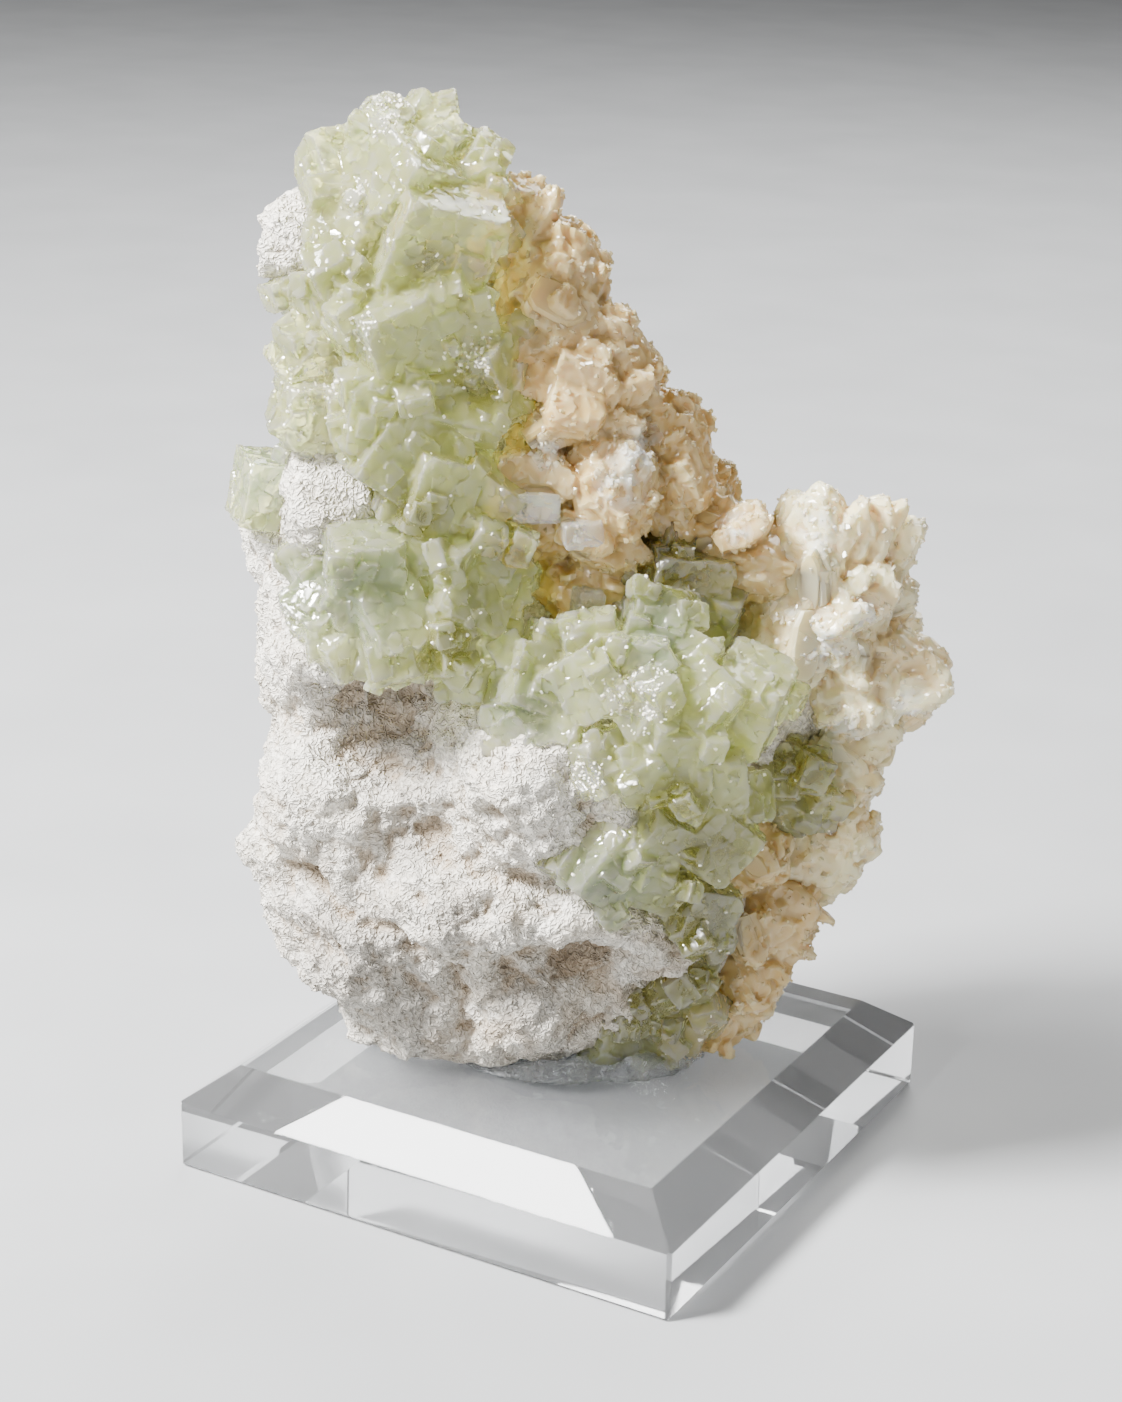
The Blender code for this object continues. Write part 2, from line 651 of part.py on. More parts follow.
def build():
    clear_objects()
    part = new_collection("apophyllite_cluster")
    materials = {name: new_material(name) for name in COLOURS}

    specimen = bpy.data.objects.new("specimen", None)
    specimen.rotation_euler = (0, 0, SPECIMEN_TURN)
    part.objects.link(specimen)

    block = make_block(part)
    block.data.transform(Matrix.Scale(MM, 4))
    block.data.materials.append(materials["acrylic"])

    # Where two of these meet, the earlier one stays whole and the later one is cut back from it
    cutters = new_collection("cutters", shown=False)
    finished = []

    def grow(pieces, name, material):
        earlier = list(cutters.objects)
        for piece in pieces:
            add_swollen(piece, cutters)
        node = pieces[0]
        if len(pieces) > 1:
            fuse(name, pieces)
            drop_slivers(node)
        near = new_collection("near_" + name, shown=False)
        for cutter in earlier:
            if boxes_meet(node, cutter):
                near.objects.link(cutter)
        if near.objects:
            combine(node, "DIFFERENCE", near)
        bpy.data.collections.remove(near)
        keep_main_shell(node)
        finished.append((node, material))

    lumps = MATRIX_CORE + MATRIX_FRONT
    matrix = make_mass("matrix", lumps, MATRIX_TRIANGLES, MATRIX_RELIEF, part, MATRIX_HOLLOWS)
    grow([matrix], "matrix", "matrix")
    for name, lumps, blades, triangles in (
        ("stilbite_slab", SLAB_LUMPS, SLAB_BLADES, SLAB_TRIANGLES),
        ("stilbite_spray", SPRAY_LUMPS, SPRAY_BLADES, SPRAY_TRIANGLES),
        ("stilbite_lower_crust", CRUST_LUMPS, CRUST_BLADES, CRUST_TRIANGLES),
    ):
        grow(make_stilbite(name, lumps, blades, triangles, part), name, "stilbite")
    for seed, (name, rows) in enumerate(CLUSTERS.items()):
        grow(make_cluster(name, rows, seed, part), name, "apophyllite")

    draw = random.Random(LONE_SEED)
    x, z, depth, side, *turn = CORNER_CRYSTAL
    turned = [radians(angle) for angle in turn]
    corner = make_crystal(seen(x, z, depth), side, turned, CORNER_STRETCH, draw, part)
    corner.name = "apophyllite_corner_crystal"
    grow([corner], corner.name, "apophyllite")
    slab = bpy.data.objects["stilbite_slab"]
    for name, row in LONE_CRYSTALS.items():
        grow([make_lone_crystal(name, row, slab, draw, part)], name, "clear")
    grow([make_glue(part)], "mounting_glue", "glue")

    for node, material in finished:
        finish_node(node, materials[material], specimen)


if __name__ == "__main__":
    build()
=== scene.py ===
# %% [markdown]
# # Green apophyllite on a clear block
#
# This lesson dresses a mineral specimen: pale green apophyllite crystals and peach-coloured stilbite
# on a white, woolly matrix of finer zeolite needles. The specimen stands in a blob of clear glue on a
# square acrylic block with polished bevels.
#
# The solids come from a CAD model, which fixes every place and size. Each piece made here stands for
# one of those solids or grows on one. A mineral has no two grains alike, so nearly everything below
# is a rule with some seeded chance in it.

# %% Load the solids
import json
import random
from itertools import product
from math import pi, radians

import bmesh
import bpy
import numpy as np
from mathutils import Euler, Matrix, Vector, noise

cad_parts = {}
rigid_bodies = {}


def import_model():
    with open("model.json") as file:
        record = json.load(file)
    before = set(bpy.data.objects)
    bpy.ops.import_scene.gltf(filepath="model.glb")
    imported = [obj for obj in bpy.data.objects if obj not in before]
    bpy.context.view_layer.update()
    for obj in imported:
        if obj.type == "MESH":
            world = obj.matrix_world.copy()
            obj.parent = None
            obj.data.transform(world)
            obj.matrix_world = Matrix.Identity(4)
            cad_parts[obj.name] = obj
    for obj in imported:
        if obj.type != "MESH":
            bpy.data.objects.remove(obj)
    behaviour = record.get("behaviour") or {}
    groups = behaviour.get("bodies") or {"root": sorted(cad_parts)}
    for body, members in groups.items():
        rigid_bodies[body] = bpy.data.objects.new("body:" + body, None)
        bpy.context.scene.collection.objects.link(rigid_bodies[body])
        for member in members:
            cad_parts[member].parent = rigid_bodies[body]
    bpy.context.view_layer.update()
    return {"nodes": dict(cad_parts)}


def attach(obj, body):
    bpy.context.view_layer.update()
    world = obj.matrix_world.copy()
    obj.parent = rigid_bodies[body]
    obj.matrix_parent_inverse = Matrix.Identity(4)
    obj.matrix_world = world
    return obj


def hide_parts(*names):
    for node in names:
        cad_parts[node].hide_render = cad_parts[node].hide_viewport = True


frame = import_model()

# %% [markdown]
# ## Millimetres, and the view from the front
#
# A specimen this small is easier to think about in millimetres. So each piece is drawn in a frame of
# its own: x to the specimen's right, y to its back, z up from the underside of the block. One matrix
# then brings it to metres and turns it as it stands on the block.
#
# The crystals were surveyed from one spot in front of the specimen. `seen` turns such a reading, x and
# z on the middle plane and a depth behind it, into a place. The readings keep their meaning however
# deep a crystal sits.

# %% The specimen's own frame
MM = 0.001
SPECIMEN_TURN = radians(29.63)
TO_WORLD = Matrix.Rotation(SPECIMEN_TURN, 4, "Z") @ Matrix.Scale(MM, 4)
TO_SPECIMEN = TO_WORLD.inverted()
EYE = Vector((-0.95, -493.4, 266.0))
FOOT_LEVEL = 20.55


def seen(x, z, depth):
    """Place, at this depth, of a point that was surveyed as x and z on the middle plane."""
    nearness = (depth - EYE.y) / -EYE.y
    return Vector((EYE.x + (x - EYE.x) * nearness, depth, EYE.z + (z - EYE.z) * nearness))


# %% [markdown]
# ## Camera, floor and lights
#
# The camera stands where the survey was made, a little above the crown and looking down, so that the
# block shows its top, its bevels and two sides. The floor is plain and pale, so that colour seen
# through the crystals is their own.
#
# A key light from the upper left models the relief. A second one beside it stands where the front
# bevel mirrors it. A tiny one nearer the camera puts sparkles on small faces, a wide weak one from the
# right keeps the shade open, and a wide one high behind lights the rims.

# %% Camera
CAMERA_PLACE = Vector((0.243147, -0.429389, 0.266027))
CAMERA_RIGHT = Vector((0.86574547, 0.50014934, 0.01831441))
CAMERA_UP = Vector((-0.18708746, 0.28946938, 0.93872561))
CAMERA_AHEAD = Vector((-0.46420153, 0.81612384, -0.34417847))
LENS_MM = 75
SENSOR_MM = 36

camera = bpy.data.objects.new("camera", bpy.data.cameras.new("camera"))
camera.data.lens = LENS_MM
camera.data.sensor_width = SENSOR_MM
camera.data.clip_start = 0.01
camera_turn = Matrix((CAMERA_RIGHT, CAMERA_UP, -CAMERA_AHEAD)).transposed().to_4x4()
camera.matrix_world = Matrix.Translation(CAMERA_PLACE) @ camera_turn
bpy.context.scene.collection.objects.link(camera)
bpy.context.scene.camera = camera
print("camera at", [round(v, 3) for v in CAMERA_PLACE])

# %% Lights
LIGHT_AIM = Vector((0, 0, 0.09))
# name; metres to the right, up and toward the camera; size in metres; watts
LIGHTS = (
    ("key_left", -0.8, 0.85, 0.3, 0.24, 80),
    ("bevel_left", -0.75, 0.95, 0.15, 0.28, 26),
    ("sparkle_left", -0.5, 0.45, 0.75, 0.06, 4),
    ("fill_right", 0.9, 0.35, 0.6, 0.8, 2.6),
    ("rim_behind", 0.3, 0.9, -0.8, 0.8, 22),
)
STUDIO_GREY = (0.82, 0.82, 0.82, 1)
STUDIO_STRENGTH = 0.14


def add_light(name, right, up, toward_camera, size, watts):
    """Soft square light, placed from the middle of the specimen in metres and aimed at it."""
    lamp = bpy.data.lights.new(name, "AREA")
    lamp.size = size
    lamp.energy = watts
    holder = bpy.data.objects.new(name, lamp)
    level = Vector((CAMERA_AHEAD.x, CAMERA_AHEAD.y, 0)).normalized()
    side = Vector((CAMERA_RIGHT.x, CAMERA_RIGHT.y, 0)).normalized()
    place = LIGHT_AIM + side * right + Vector((0, 0, up)) - level * toward_camera
    aim = (LIGHT_AIM - place).to_track_quat("-Z", "Y").to_matrix().to_4x4()
    holder.matrix_world = Matrix.Translation(place) @ aim
    bpy.context.scene.collection.objects.link(holder)


for light_row in LIGHTS:
    add_light(*light_row)

world = bpy.data.worlds.new("studio")
bpy.context.scene.world = world
world.use_nodes = True
world.node_tree.nodes["Background"].inputs["Color"].default_value = STUDIO_GREY
world.node_tree.nodes["Background"].inputs["Strength"].default_value = STUDIO_STRENGTH
print("lights:", [light_row[0] for light_row in LIGHTS])

# %% [markdown]
# ## A shorthand for shader nodes
#
# A material is a small network: textures make masks, masks mix colours, and the result feeds the
# Principled BSDF. Each node takes three or four lines in plain Python, so one helper adds a node,
# sets its plain values and links its inputs. The networks below then read nearly like formulas.

# %% Node helpers


def put(tree, kind, inputs=None, **settings):
    """Adds a node. Each input is given a value, or the output of another node to link."""
    made = tree.nodes.new(kind)
    for name, value in settings.items():
        setattr(made, name, value)
    for name, value in (inputs or {}).items():
        if isinstance(value, bpy.types.NodeSocket):
            tree.links.new(value, made.inputs[name])
        else:
            made.inputs[name].default_value = value
    return made


def sums(tree, operation, *values):
    """Output of a Math node."""
    node = put(tree, "ShaderNodeMath", dict(enumerate(values)), operation=operation)
    return node.outputs[0]


def remap(tree, value, low, high, to_low=0.0, to_high=1.0):
    """Output of a Map Range node, clamped."""
    inputs = {"Value": value, "From Min": low, "From Max": high, "To Min": to_low, "To Max": to_high}
    return put(tree, "ShaderNodeMapRange", inputs).outputs["Result"]


def mixed(tree, factor, first, second, how="MIX"):
    """Output of a colour mix. The two colours are inputs 6 and 7 of the Mix node."""
    node = put(tree, "ShaderNodeMix", data_type="RGBA", blend_type=how)
    for index, value in ((0, factor), (6, first), (7, second)):
        if isinstance(value, bpy.types.NodeSocket):
            tree.links.new(value, node.inputs[index])
        else:
            node.inputs[index].default_value = value
    return node.outputs[2]


def named(tree, attribute, kind="Fac"):
    """Output that reads one of the mesh's own attributes."""
    return put(tree, "ShaderNodeAttribute", attribute_name=attribute).outputs[kind]


def new_material(name):
    """Material with its Principled BSDF, as (material, tree, shader)."""
    made = bpy.data.materials.new(name)
    made.use_nodes = True
    return made, made.node_tree, made.node_tree.nodes["Principled BSDF"]


# %% [markdown]
# ## Effects that several materials share
#
# `grit` is the fine relief of grown mineral: small worm-like ridges with a finer grain on them. It
# gives a height for a Bump node. `mottle` is a soft patchiness for colour and polish. Both read
# Object coordinates, which are metres here, so their sizes are given in millimetres and turned into
# a scale inside. A group is built once, and each material places it with its own values.

# %% Shared shader groups


def new_group(name, floats, outputs):
    """Empty shader group with named number inputs, as (group, its input node, its output node)."""
    group = bpy.data.node_groups.new(name, "ShaderNodeTree")
    for socket, value in floats.items():
        made = group.interface.new_socket(socket, in_out="INPUT", socket_type="NodeSocketFloat")
        made.default_value = value
    for socket in outputs:
        group.interface.new_socket(socket, in_out="OUTPUT", socket_type="NodeSocketFloat")
    return group, put(group, "NodeGroupInput"), put(group, "NodeGroupOutput")


def build_grit():
    """Worm-like ridges with a finer grain on them."""
    floats = {"Ridge mm": 1.0, "Grain mm": 0.25, "Grain share": 0.3}
    group, given, result = new_group("grit", floats, ["Height"])
    where = put(group, "ShaderNodeTexCoord").outputs["Object"]
    ridge_scale = sums(group, "DIVIDE", 1000.0, given.outputs["Ridge mm"])
    grain_scale = sums(group, "DIVIDE", 1000.0, given.outputs["Grain mm"])
    swirl = put(group, "ShaderNodeTexNoise", {
        "Vector": where, "Scale": ridge_scale, "Detail": 0.0, "Distortion": 1.0,
    })
    fold = sums(group, "ABSOLUTE", sums(group, "SUBTRACT", swirl.outputs["Fac"], 0.5))
    ridge = remap(group, fold, 0.0, 0.2, 1.0, 0.0)
    grain = put(group, "ShaderNodeTexNoise", {"Vector": where, "Scale": grain_scale, "Detail": 1.0})
    share = sums(group, "MULTIPLY", grain.outputs["Fac"], given.outputs["Grain share"])
    both = sums(group, "ADD", ridge, share)
    group.links.new(both, result.inputs["Height"])
    return group


def build_mottle():
    """Soft patches, from 0 to 1."""
    group, given, result = new_group("mottle", {"Patch mm": 8.0, "Low": 0.4, "High": 0.6}, ["Mask"])
    where = put(group, "ShaderNodeTexCoord").outputs["Object"]
    scale = sums(group, "DIVIDE", 1000.0, given.outputs["Patch mm"])
    patch = put(group, "ShaderNodeTexNoise", {
        "Vector": where, "Scale": scale, "Detail": 2.0, "Roughness": 0.6,
    })
    mask = remap(group, patch.outputs["Fac"], given.outputs["Low"], given.outputs["High"])
    group.links.new(mask, result.inputs["Mask"])
    return group


GRIT = build_grit()
MOTTLE = build_mottle()


def grit(tree, ridge_mm, grain_mm, grain_share):
    """Output of a grit group placed in a material."""
    inputs = {"Ridge mm": ridge_mm, "Grain mm": grain_mm, "Grain share": grain_share}
    return put(tree, "ShaderNodeGroup", inputs, node_tree=GRIT).outputs["Height"]


def mottle(tree, patch_mm, low, high):
    """Output of a mottle group placed in a material."""
    inputs = {"Patch mm": patch_mm, "Low": low, "High": high}
    return put(tree, "ShaderNodeGroup", inputs, node_tree=MOTTLE).outputs["Mask"]


def bumped(tree, shader, height, depth_mm):
    """Feeds a height to the shader's normal."""
    inputs = {"Height": height, "Distance": depth_mm * MM, "Strength": 1.0}
    bump = put(tree, "ShaderNodeBump", inputs)
    tree.links.new(bump.outputs["Normal"], shader.inputs["Normal"])


print("shader groups:", [group.name for group in bpy.data.node_groups])

# %% [markdown]
# ## The floor
#
# A photographer's table, wide enough to fill the frame. Its paper has a faint mottle. It lies a hair
# below the block, because light has to get out of the block's underside before it can reach the paper.

# %% Floor
FLOOR_HALF_WIDTH = 4.0
FLOOR_GAP = 0.0003
PAPER_DARK = (0.33, 0.335, 0.34, 1)
PAPER_LIGHT = (0.36, 0.365, 0.37, 1)


def make_floor():
    bm = bmesh.new()
    bmesh.ops.create_grid(bm, x_segments=1, y_segments=1, size=FLOOR_HALF_WIDTH)
    bmesh.ops.translate(bm, vec=(0, 0, -FLOOR_GAP), verts=bm.verts)
    mesh = bpy.data.meshes.new("floor")
    bm.to_mesh(mesh)
    bm.free()
    floor = bpy.data.objects.new("floor", mesh)
    bpy.context.scene.collection.objects.link(floor)
    material, tree, shader = new_material("floor_paper")
    colour = mixed(tree, mottle(tree, 60, 0.3, 0.7), PAPER_DARK, PAPER_LIGHT)
    tree.links.new(colour, shader.inputs["Base Color"])
    shader.inputs["Roughness"].default_value = 0.6
    mesh.materials.append(material)


make_floor()

# %% [markdown]
# ## Finishing a piece
#
# Every piece ends the same way: its mesh goes to metres, it gets its material, it rides on the one
# body there is, and the solids that it stands for are hidden. `settle` applies modifiers by reading the
# evaluated mesh back, which leaves a plain mesh with nothing live on it.

# %% Mesh helpers


def new_object(name, mesh):
    made = bpy.data.objects.new(name, mesh)
    bpy.context.scene.collection.objects.link(made)
    return made


def from_bmesh(name, bm):
    mesh = bpy.data.meshes.new(name)
    bm.to_mesh(mesh)
    bm.free()
    return new_object(name, mesh)


def settle(piece):
    """Puts the result of a piece's modifiers in its mesh."""
    graph = bpy.context.evaluated_depsgraph_get()
    settled = bpy.data.meshes.new_from_object(piece.evaluated_get(graph))
    piece.modifiers.clear()
    piece.data = settled


def triangles(piece):
    piece.data.calc_loop_triangles()
    return len(piece.data.loop_triangles)


def finish(piece, material, slot, *nodes, smooth=True, crisp=None):
    """Brings a piece to metres and its stance, and hands it over. Edges past crisp degrees stay sharp."""
    piece.data.transform(TO_WORLD)
    piece.data.materials.clear()
    piece.data.materials.append(material)
    piece.data.shade_smooth() if smooth else piece.data.shade_flat()
    if crisp:
        piece.data.set_sharp_from_angle(angle=radians(crisp))
    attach(piece, "root")
    if nodes:
        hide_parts(*nodes)
    print(piece.name, triangles(piece), "triangles")
    return piece


def remesh(piece, voxel):
    """Fuses overlapping parts in one skin of even cells."""
    fused = piece.modifiers.new("fused", "REMESH")
    fused.mode = "VOXEL"
    fused.voxel_size = voxel
    settle(piece)


def thin_out(piece, share):
    """Keeps this share of the triangles, most of them along edges."""
    fewer = piece.modifiers.new("fewer", "DECIMATE")
    fewer.ratio = share
    settle(piece)


def soften(piece, rounds, factor=0.5):
    softer = piece.modifiers.new("softer", "SMOOTH")
    softer.factor = factor
    softer.iterations = rounds
    settle(piece)


def points_of(piece):
    found = np.empty(len(piece.data.vertices) * 3)
    piece.data.vertices.foreach_get("co", found)
    return found.reshape(-1, 3)


def normals_of(piece):
    found = np.empty(len(piece.data.vertices) * 3)
    piece.data.vertex_normals.foreach_get("vector", found)
    return found.reshape(-1, 3)


def move_points(piece, points):
    piece.data.vertices.foreach_set("co", points.ravel())
    piece.data.update()


def store(piece, name, values):
    """Keeps a number for each point, for a material or a scatter to read."""
    attribute = piece.data.attributes.new(name, "FLOAT", "POINT")
    attribute.data.foreach_set("value", np.asarray(values, np.float32))


def recall(piece, name):
    """The numbers that store kept under this name."""
    found = np.empty(len(piece.data.vertices), np.float32)
    piece.data.attributes[name].data.foreach_get("value", found)
    return found


# %% [markdown]
# ## Noise on a mesh
#
# Bump mapping only fakes relief, and a relief of one or two millimetres shows in the outline of a
# piece this small. So the larger forms move the mesh itself. `swells` is ordinary rounded noise.
# `ridges` bends the noise and folds it at zero, which gives the curled, vermicular ridges of the
# woolly zeolite. `facets` tilts small cells of a surface, for crystal faces. `hollowness` compares
# the surface with a smoothed copy of itself: points that lie below the copy are in a hollow, and
# the materials paint hollows darker and warmer, as painted shade.
#
# The noise module takes part of its start from the clock unless it is given a seed. It gets one, so
# that the piece comes out the same each time.

# %% Relief helpers
WARP_SEED = 5
SPOT_DEPTH = -20.0
noise.seed_set(WARP_SEED)


def swells(points, size, octaves=3, shift=0.0):
    """Rounded noise, about -1 to 1, in forms of this size."""
    places = (Vector(point) / size + Vector((shift, shift, shift)) for point in points)
    return np.array([noise.fractal(place, 0.6, 2.1, octaves) for place in places])


def ridges(points, size, sharpness, shift=0.0):
    """Curled ridges, 1 on their crests. Higher sharpness makes them narrower."""
    found = []
    for point in points:
        place = Vector(point) / size + Vector((shift, 0, shift))
        place += noise.noise_vector(place / 2.3) * 0.9
        found.append(1 - sharpness * abs(noise.noise(place)))
    return np.array(found)


def facets(points, size, slope):
    """Push that tilts each cell of a mosaic its own way, since no crystal face is one flat mirror."""
    found = []
    for point in points:
        place = Vector(point) / size
        _, cells = noise.voronoi(place)
        tilt = noise.cell_vector(cells[0] * 7.3) - Vector((0.5, 0.5, 0.5))
        found.append((place - cells[0]).dot(tilt) * slope * size)
    return np.array(found)


def hollowness(piece, rounds):
    """For each point, how far in millimetres it lies below a smoothed copy of the surface."""
    points, normals = points_of(piece), normals_of(piece)
    ends = np.empty(len(piece.data.edges) * 2, np.int64)
    piece.data.edges.foreach_get("vertices", ends)
    one, other = ends.reshape(-1, 2).T
    count = len(points)
    shares = np.maximum(np.bincount(one, minlength=count) + np.bincount(other, minlength=count), 1)
    smoothed = points.copy()
    for _ in range(rounds):
        for axis in range(3):
            around = np.bincount(one, smoothed[other, axis], count)
            around += np.bincount(other, smoothed[one, axis], count)
            smoothed[:, axis] = around / shares
    return ((smoothed - points) * normals).sum(axis=1)


def patches(points, size, low, high, shift):
    """Soft blotches, from 0 where the noise is below low to 1 above high."""
    return np.clip((swells(points, size, 2, shift) - low) / (high - low), 0, 1)


def near_spots(points, spots):
    """Soft mask, 1 at each surveyed spot (x, z, reach) and 0 beyond its reach."""
    mask = np.zeros(len(points))
    for x, z, reach in spots:
        middle = np.array(seen(x, z, SPOT_DEPTH))
        away = np.hypot(points[:, 0] - middle[0], points[:, 2] - middle[2]) / reach
        mask = np.maximum(mask, np.clip(1.4 * (1 - away), 0, 1))
    return mask * (points[:, 1] < 0)


def broken_spots(points, spots, size, low, high, shift):
    """Surveyed spots, broken up by blotches of this size."""
    return near_spots(points, spots) * patches(points, size, low, high, shift)


print("warp seed:", WARP_SEED)

# %% [markdown]
# ## The clear block
#
# A square of cast acrylic, its bevels flame-polished so that they mirror the lights. Such a block is
# a box with planes sliced off it, so it is made by slicing: four bevels round the top, a fine chamfer
# on each upright edge and round the foot. A last small bevel rounds every edge, because a real
# polished edge is never sharp, and that sliver is what draws the bright lines.

# %% Block
BLOCK_SIDE = 101.6
BLOCK_HEIGHT = 19.05
BLOCK_EDGE_HEIGHT = 12.7
BEVEL_INSET = 8.2
CORNER_CHAMFER = 0.7
FOOT_CHAMFER = 0.4
EDGE_ROUND = 0.22
CUT_TOLERANCE = 1e-5


def clip(bm, point, normal):
    """Cuts a convex bmesh off at a plane and closes the cut."""
    geometry = [*bm.verts, *bm.edges, *bm.faces]
    cut = bmesh.ops.bisect_plane(
        bm, geom=geometry, dist=CUT_TOLERANCE, plane_co=point, plane_no=normal, clear_outer=True
    )
    edges = [part for part in cut["geom_cut"] if isinstance(part, bmesh.types.BMEdge)]
    if edges:
        bmesh.ops.contextual_create(bm, geom=edges)


def make_block():
    bm = bmesh.new()
    size = Matrix.Diagonal((BLOCK_SIDE, BLOCK_SIDE, BLOCK_HEIGHT, 1))
    bmesh.ops.create_cube(bm, size=1, matrix=size)
    bmesh.ops.translate(bm, vec=(0, 0, BLOCK_HEIGHT / 2), verts=bm.verts)
    half = BLOCK_SIDE / 2
    drop = BLOCK_HEIGHT - BLOCK_EDGE_HEIGHT
    for x, y in ((1, 0), (-1, 0), (0, 1), (0, -1)):
        side = Vector((x, y, 0))
        bevel_edge = side * half + Vector((0, 0, BLOCK_EDGE_HEIGHT))
        clip(bm, bevel_edge, side * drop + Vector((0, 0, BEVEL_INSET)))
        clip(bm, side * half + Vector((0, 0, FOOT_CHAMFER)), side - Vector((0, 0, 1)))
    for x, y in product((-1, 1), repeat=2):
        corner = Vector((x, y, 0))
        clip(bm, corner * (half - CORNER_CHAMFER / 2), corner)
    bmesh.ops.recalc_face_normals(bm, faces=bm.faces)
    bmesh.ops.bevel(
        bm, geom=bm.edges[:], offset=EDGE_ROUND, segments=2, affect="EDGES", clamp_overlap=True
    )
    bmesh.ops.transform(bm, matrix=Matrix.Rotation(-SPECIMEN_TURN, 4, "Z"), verts=bm.verts)
    return from_bmesh("clear_block", bm)


# %% [markdown]
# Acrylic is plain transmission with its own index, 1.49. What keeps it from looking like a computer's
# glass is on its surface: a breath of polishing haze and some hairline scratches, both very faint.

# %% Acrylic
ACRYLIC_IOR = 1.49
ACRYLIC_CLEAR = (0.985, 0.99, 0.995, 1)
ACRYLIC_HAZY = (0.96, 0.975, 0.985, 1)
SCRATCH_TURN = (0, 0, 0.5)
SCRATCH_STRETCH = (900, 25, 900)


def make_acrylic():
    material, tree, shader = new_material("polished_acrylic")
    where = put(tree, "ShaderNodeTexCoord").outputs["Object"]
    stretched = put(tree, "ShaderNodeMapping", {
        "Vector": where, "Rotation": SCRATCH_TURN, "Scale": SCRATCH_STRETCH,
    }).outputs["Vector"]
    lines = put(tree, "ShaderNodeTexNoise", {"Vector": stretched, "Scale": 1.0, "Detail": 2.0})
    scratch = remap(tree, lines.outputs["Fac"], 0.68, 0.74)
    haze = mottle(tree, 18, 0.35, 0.75)
    rough = sums(tree, "ADD", sums(tree, "MULTIPLY", haze, 0.02), sums(tree, "MULTIPLY", scratch, 0.05))
    tree.links.new(rough, shader.inputs["Roughness"])
    tint = mixed(tree, haze, ACRYLIC_CLEAR, ACRYLIC_HAZY)
    tree.links.new(tint, shader.inputs["Base Color"])
    shader.inputs["Transmission Weight"].default_value = 0.95
    shader.inputs["IOR"].default_value = ACRYLIC_IOR
    return material


finish(make_block(), make_acrylic(), "acrylic", "display_base", smooth=False)

# %% [markdown]
# ## The white matrix
#
# The matrix is a felt of very fine zeolite needles, so from arm's length it looks like curd or wool:
# rounded lumps, covered in curled ridges about a millimetre wide, with pits between them.
#
# The solid already has its large forms. It could be subdivided and displaced, but its faces differ
# in size, and so would the relief. Instead a copy of it is remeshed in small even cells, smoothed, and
# pushed in and out in four steps: swells of 13 and 6 mm, then curled ridges of 4 and 2.3 mm. The lumps
# and hollows that show well were surveyed, and so was the crack that crosses the matrix. They are
# added as rounded mounds, pushed out or in.

# %% Matrix form
MATRIX_FIRST_CELL = 1.2
MATRIX_CELL = 0.8
# size, push, octaves, shift
MATRIX_SWELLS = ((13.0, 1.3, 2, 8.0), (6.0, 1.3, 3, 0.0))
# size, push, sharpness, shift
MATRIX_RIDGES = ((4.0, 0.8, 2.0, 5.0), (2.3, 0.55, 2.4, 11.0))
MATRIX_INSET = 0.6
PIT_ROUNDS = 14
HOLLOW_ROUNDS = 80
# x, z, reach
WARM_SPOTS = (
    (2, 32, 15), (18, 38, 12), (-10, 22, 12), (-21, 16, 7), (-55, 57, 5), (-47, 52, 5),
    (-12, 47, 9), (-33, 86, 6), (-52, 62, 3), (9, 27, 8), (-45, 37, 6),
)
# surveyed spots that lie in shade, such as the hollow and the lower left, painted grey as shade
SHADE_SPOTS = (
    (-30, 72, 12), (-36, 80, 11), (-20, 46, 9), (-40, 36, 20), (-30, 58, 10), (-28, 24, 14),
    (-6, 28, 8),
)
# x, z, reach, push
MOUNDS = (
    (-5, 75, 14, 2.4), (-12, 45, 9, 2.2), (2, 44, 8, 2.2), (14, 42, 7, 1.5), (-28, 19, 8, 2.6),
    (-7, 21, 9, 3.0), (10, 65, 5, 1.5), (-55, 57, 4, 1.2), (-35, 78, 12, -4.4),
    (-32, 71.5, 4, -2.4), (-12.5, 68, 3, -3.4), (4, 33, 8, -4.0), (-8, 33, 6, -2.6),
    (-19, 30, 4, -2.4), (-18.5, 25, 3.5, -2.6), (-18, 20, 3.5, -2.6), (-45, 37, 8, -2.4),
    (-36, 33, 6, -1.8), (-23, 58, 5, -2.0), (-26, 70, 4, -2.0), (-40, 62, 6, 1.6),
    (-50, 40, 4, 1.2), (-42, 122.5, 9, 4.0), (-46, 113, 7, 3.2),
    (-47, 128, 5, 2.2), (-37, 117, 5, 2.0), (-50, 162, 5, 1.0),
)
# x, z of each bend
GROOVE = ((-50, 49.5), (-45.5, 48), (-40, 43.5), (-30.5, 40.5), (-25, 34), (-15.5, 31.5))
GROOVE_STEPS = 4
GROOVE_REACH = 3.0
GROOVE_PUSH = -1.6


def copy_solid(node, name):
    """The solid's mesh as one closed skin, in the specimen's frame."""
    bm = bmesh.new()
    bm.from_mesh(frame["nodes"][node].data)
    bmesh.ops.remove_doubles(bm, verts=bm.verts, dist=1e-6)
    bmesh.ops.transform(bm, matrix=TO_SPECIMEN, verts=bm.verts)
    return from_bmesh(name, bm)


def mounds(points, rows):
    """Push in millimetres from rounded mounds, or from hollows where a row's push is negative."""
    total = np.zeros(len(points))
    for x, z, reach, push in rows:
        middle = seen(x, z, SPOT_DEPTH)
        away = np.hypot(points[:, 0] - middle.x, points[:, 2] - middle.z) / reach
        total += push * np.clip(1 - away ** 2, 0, 1)
    return total * (points[:, 1] < 0)


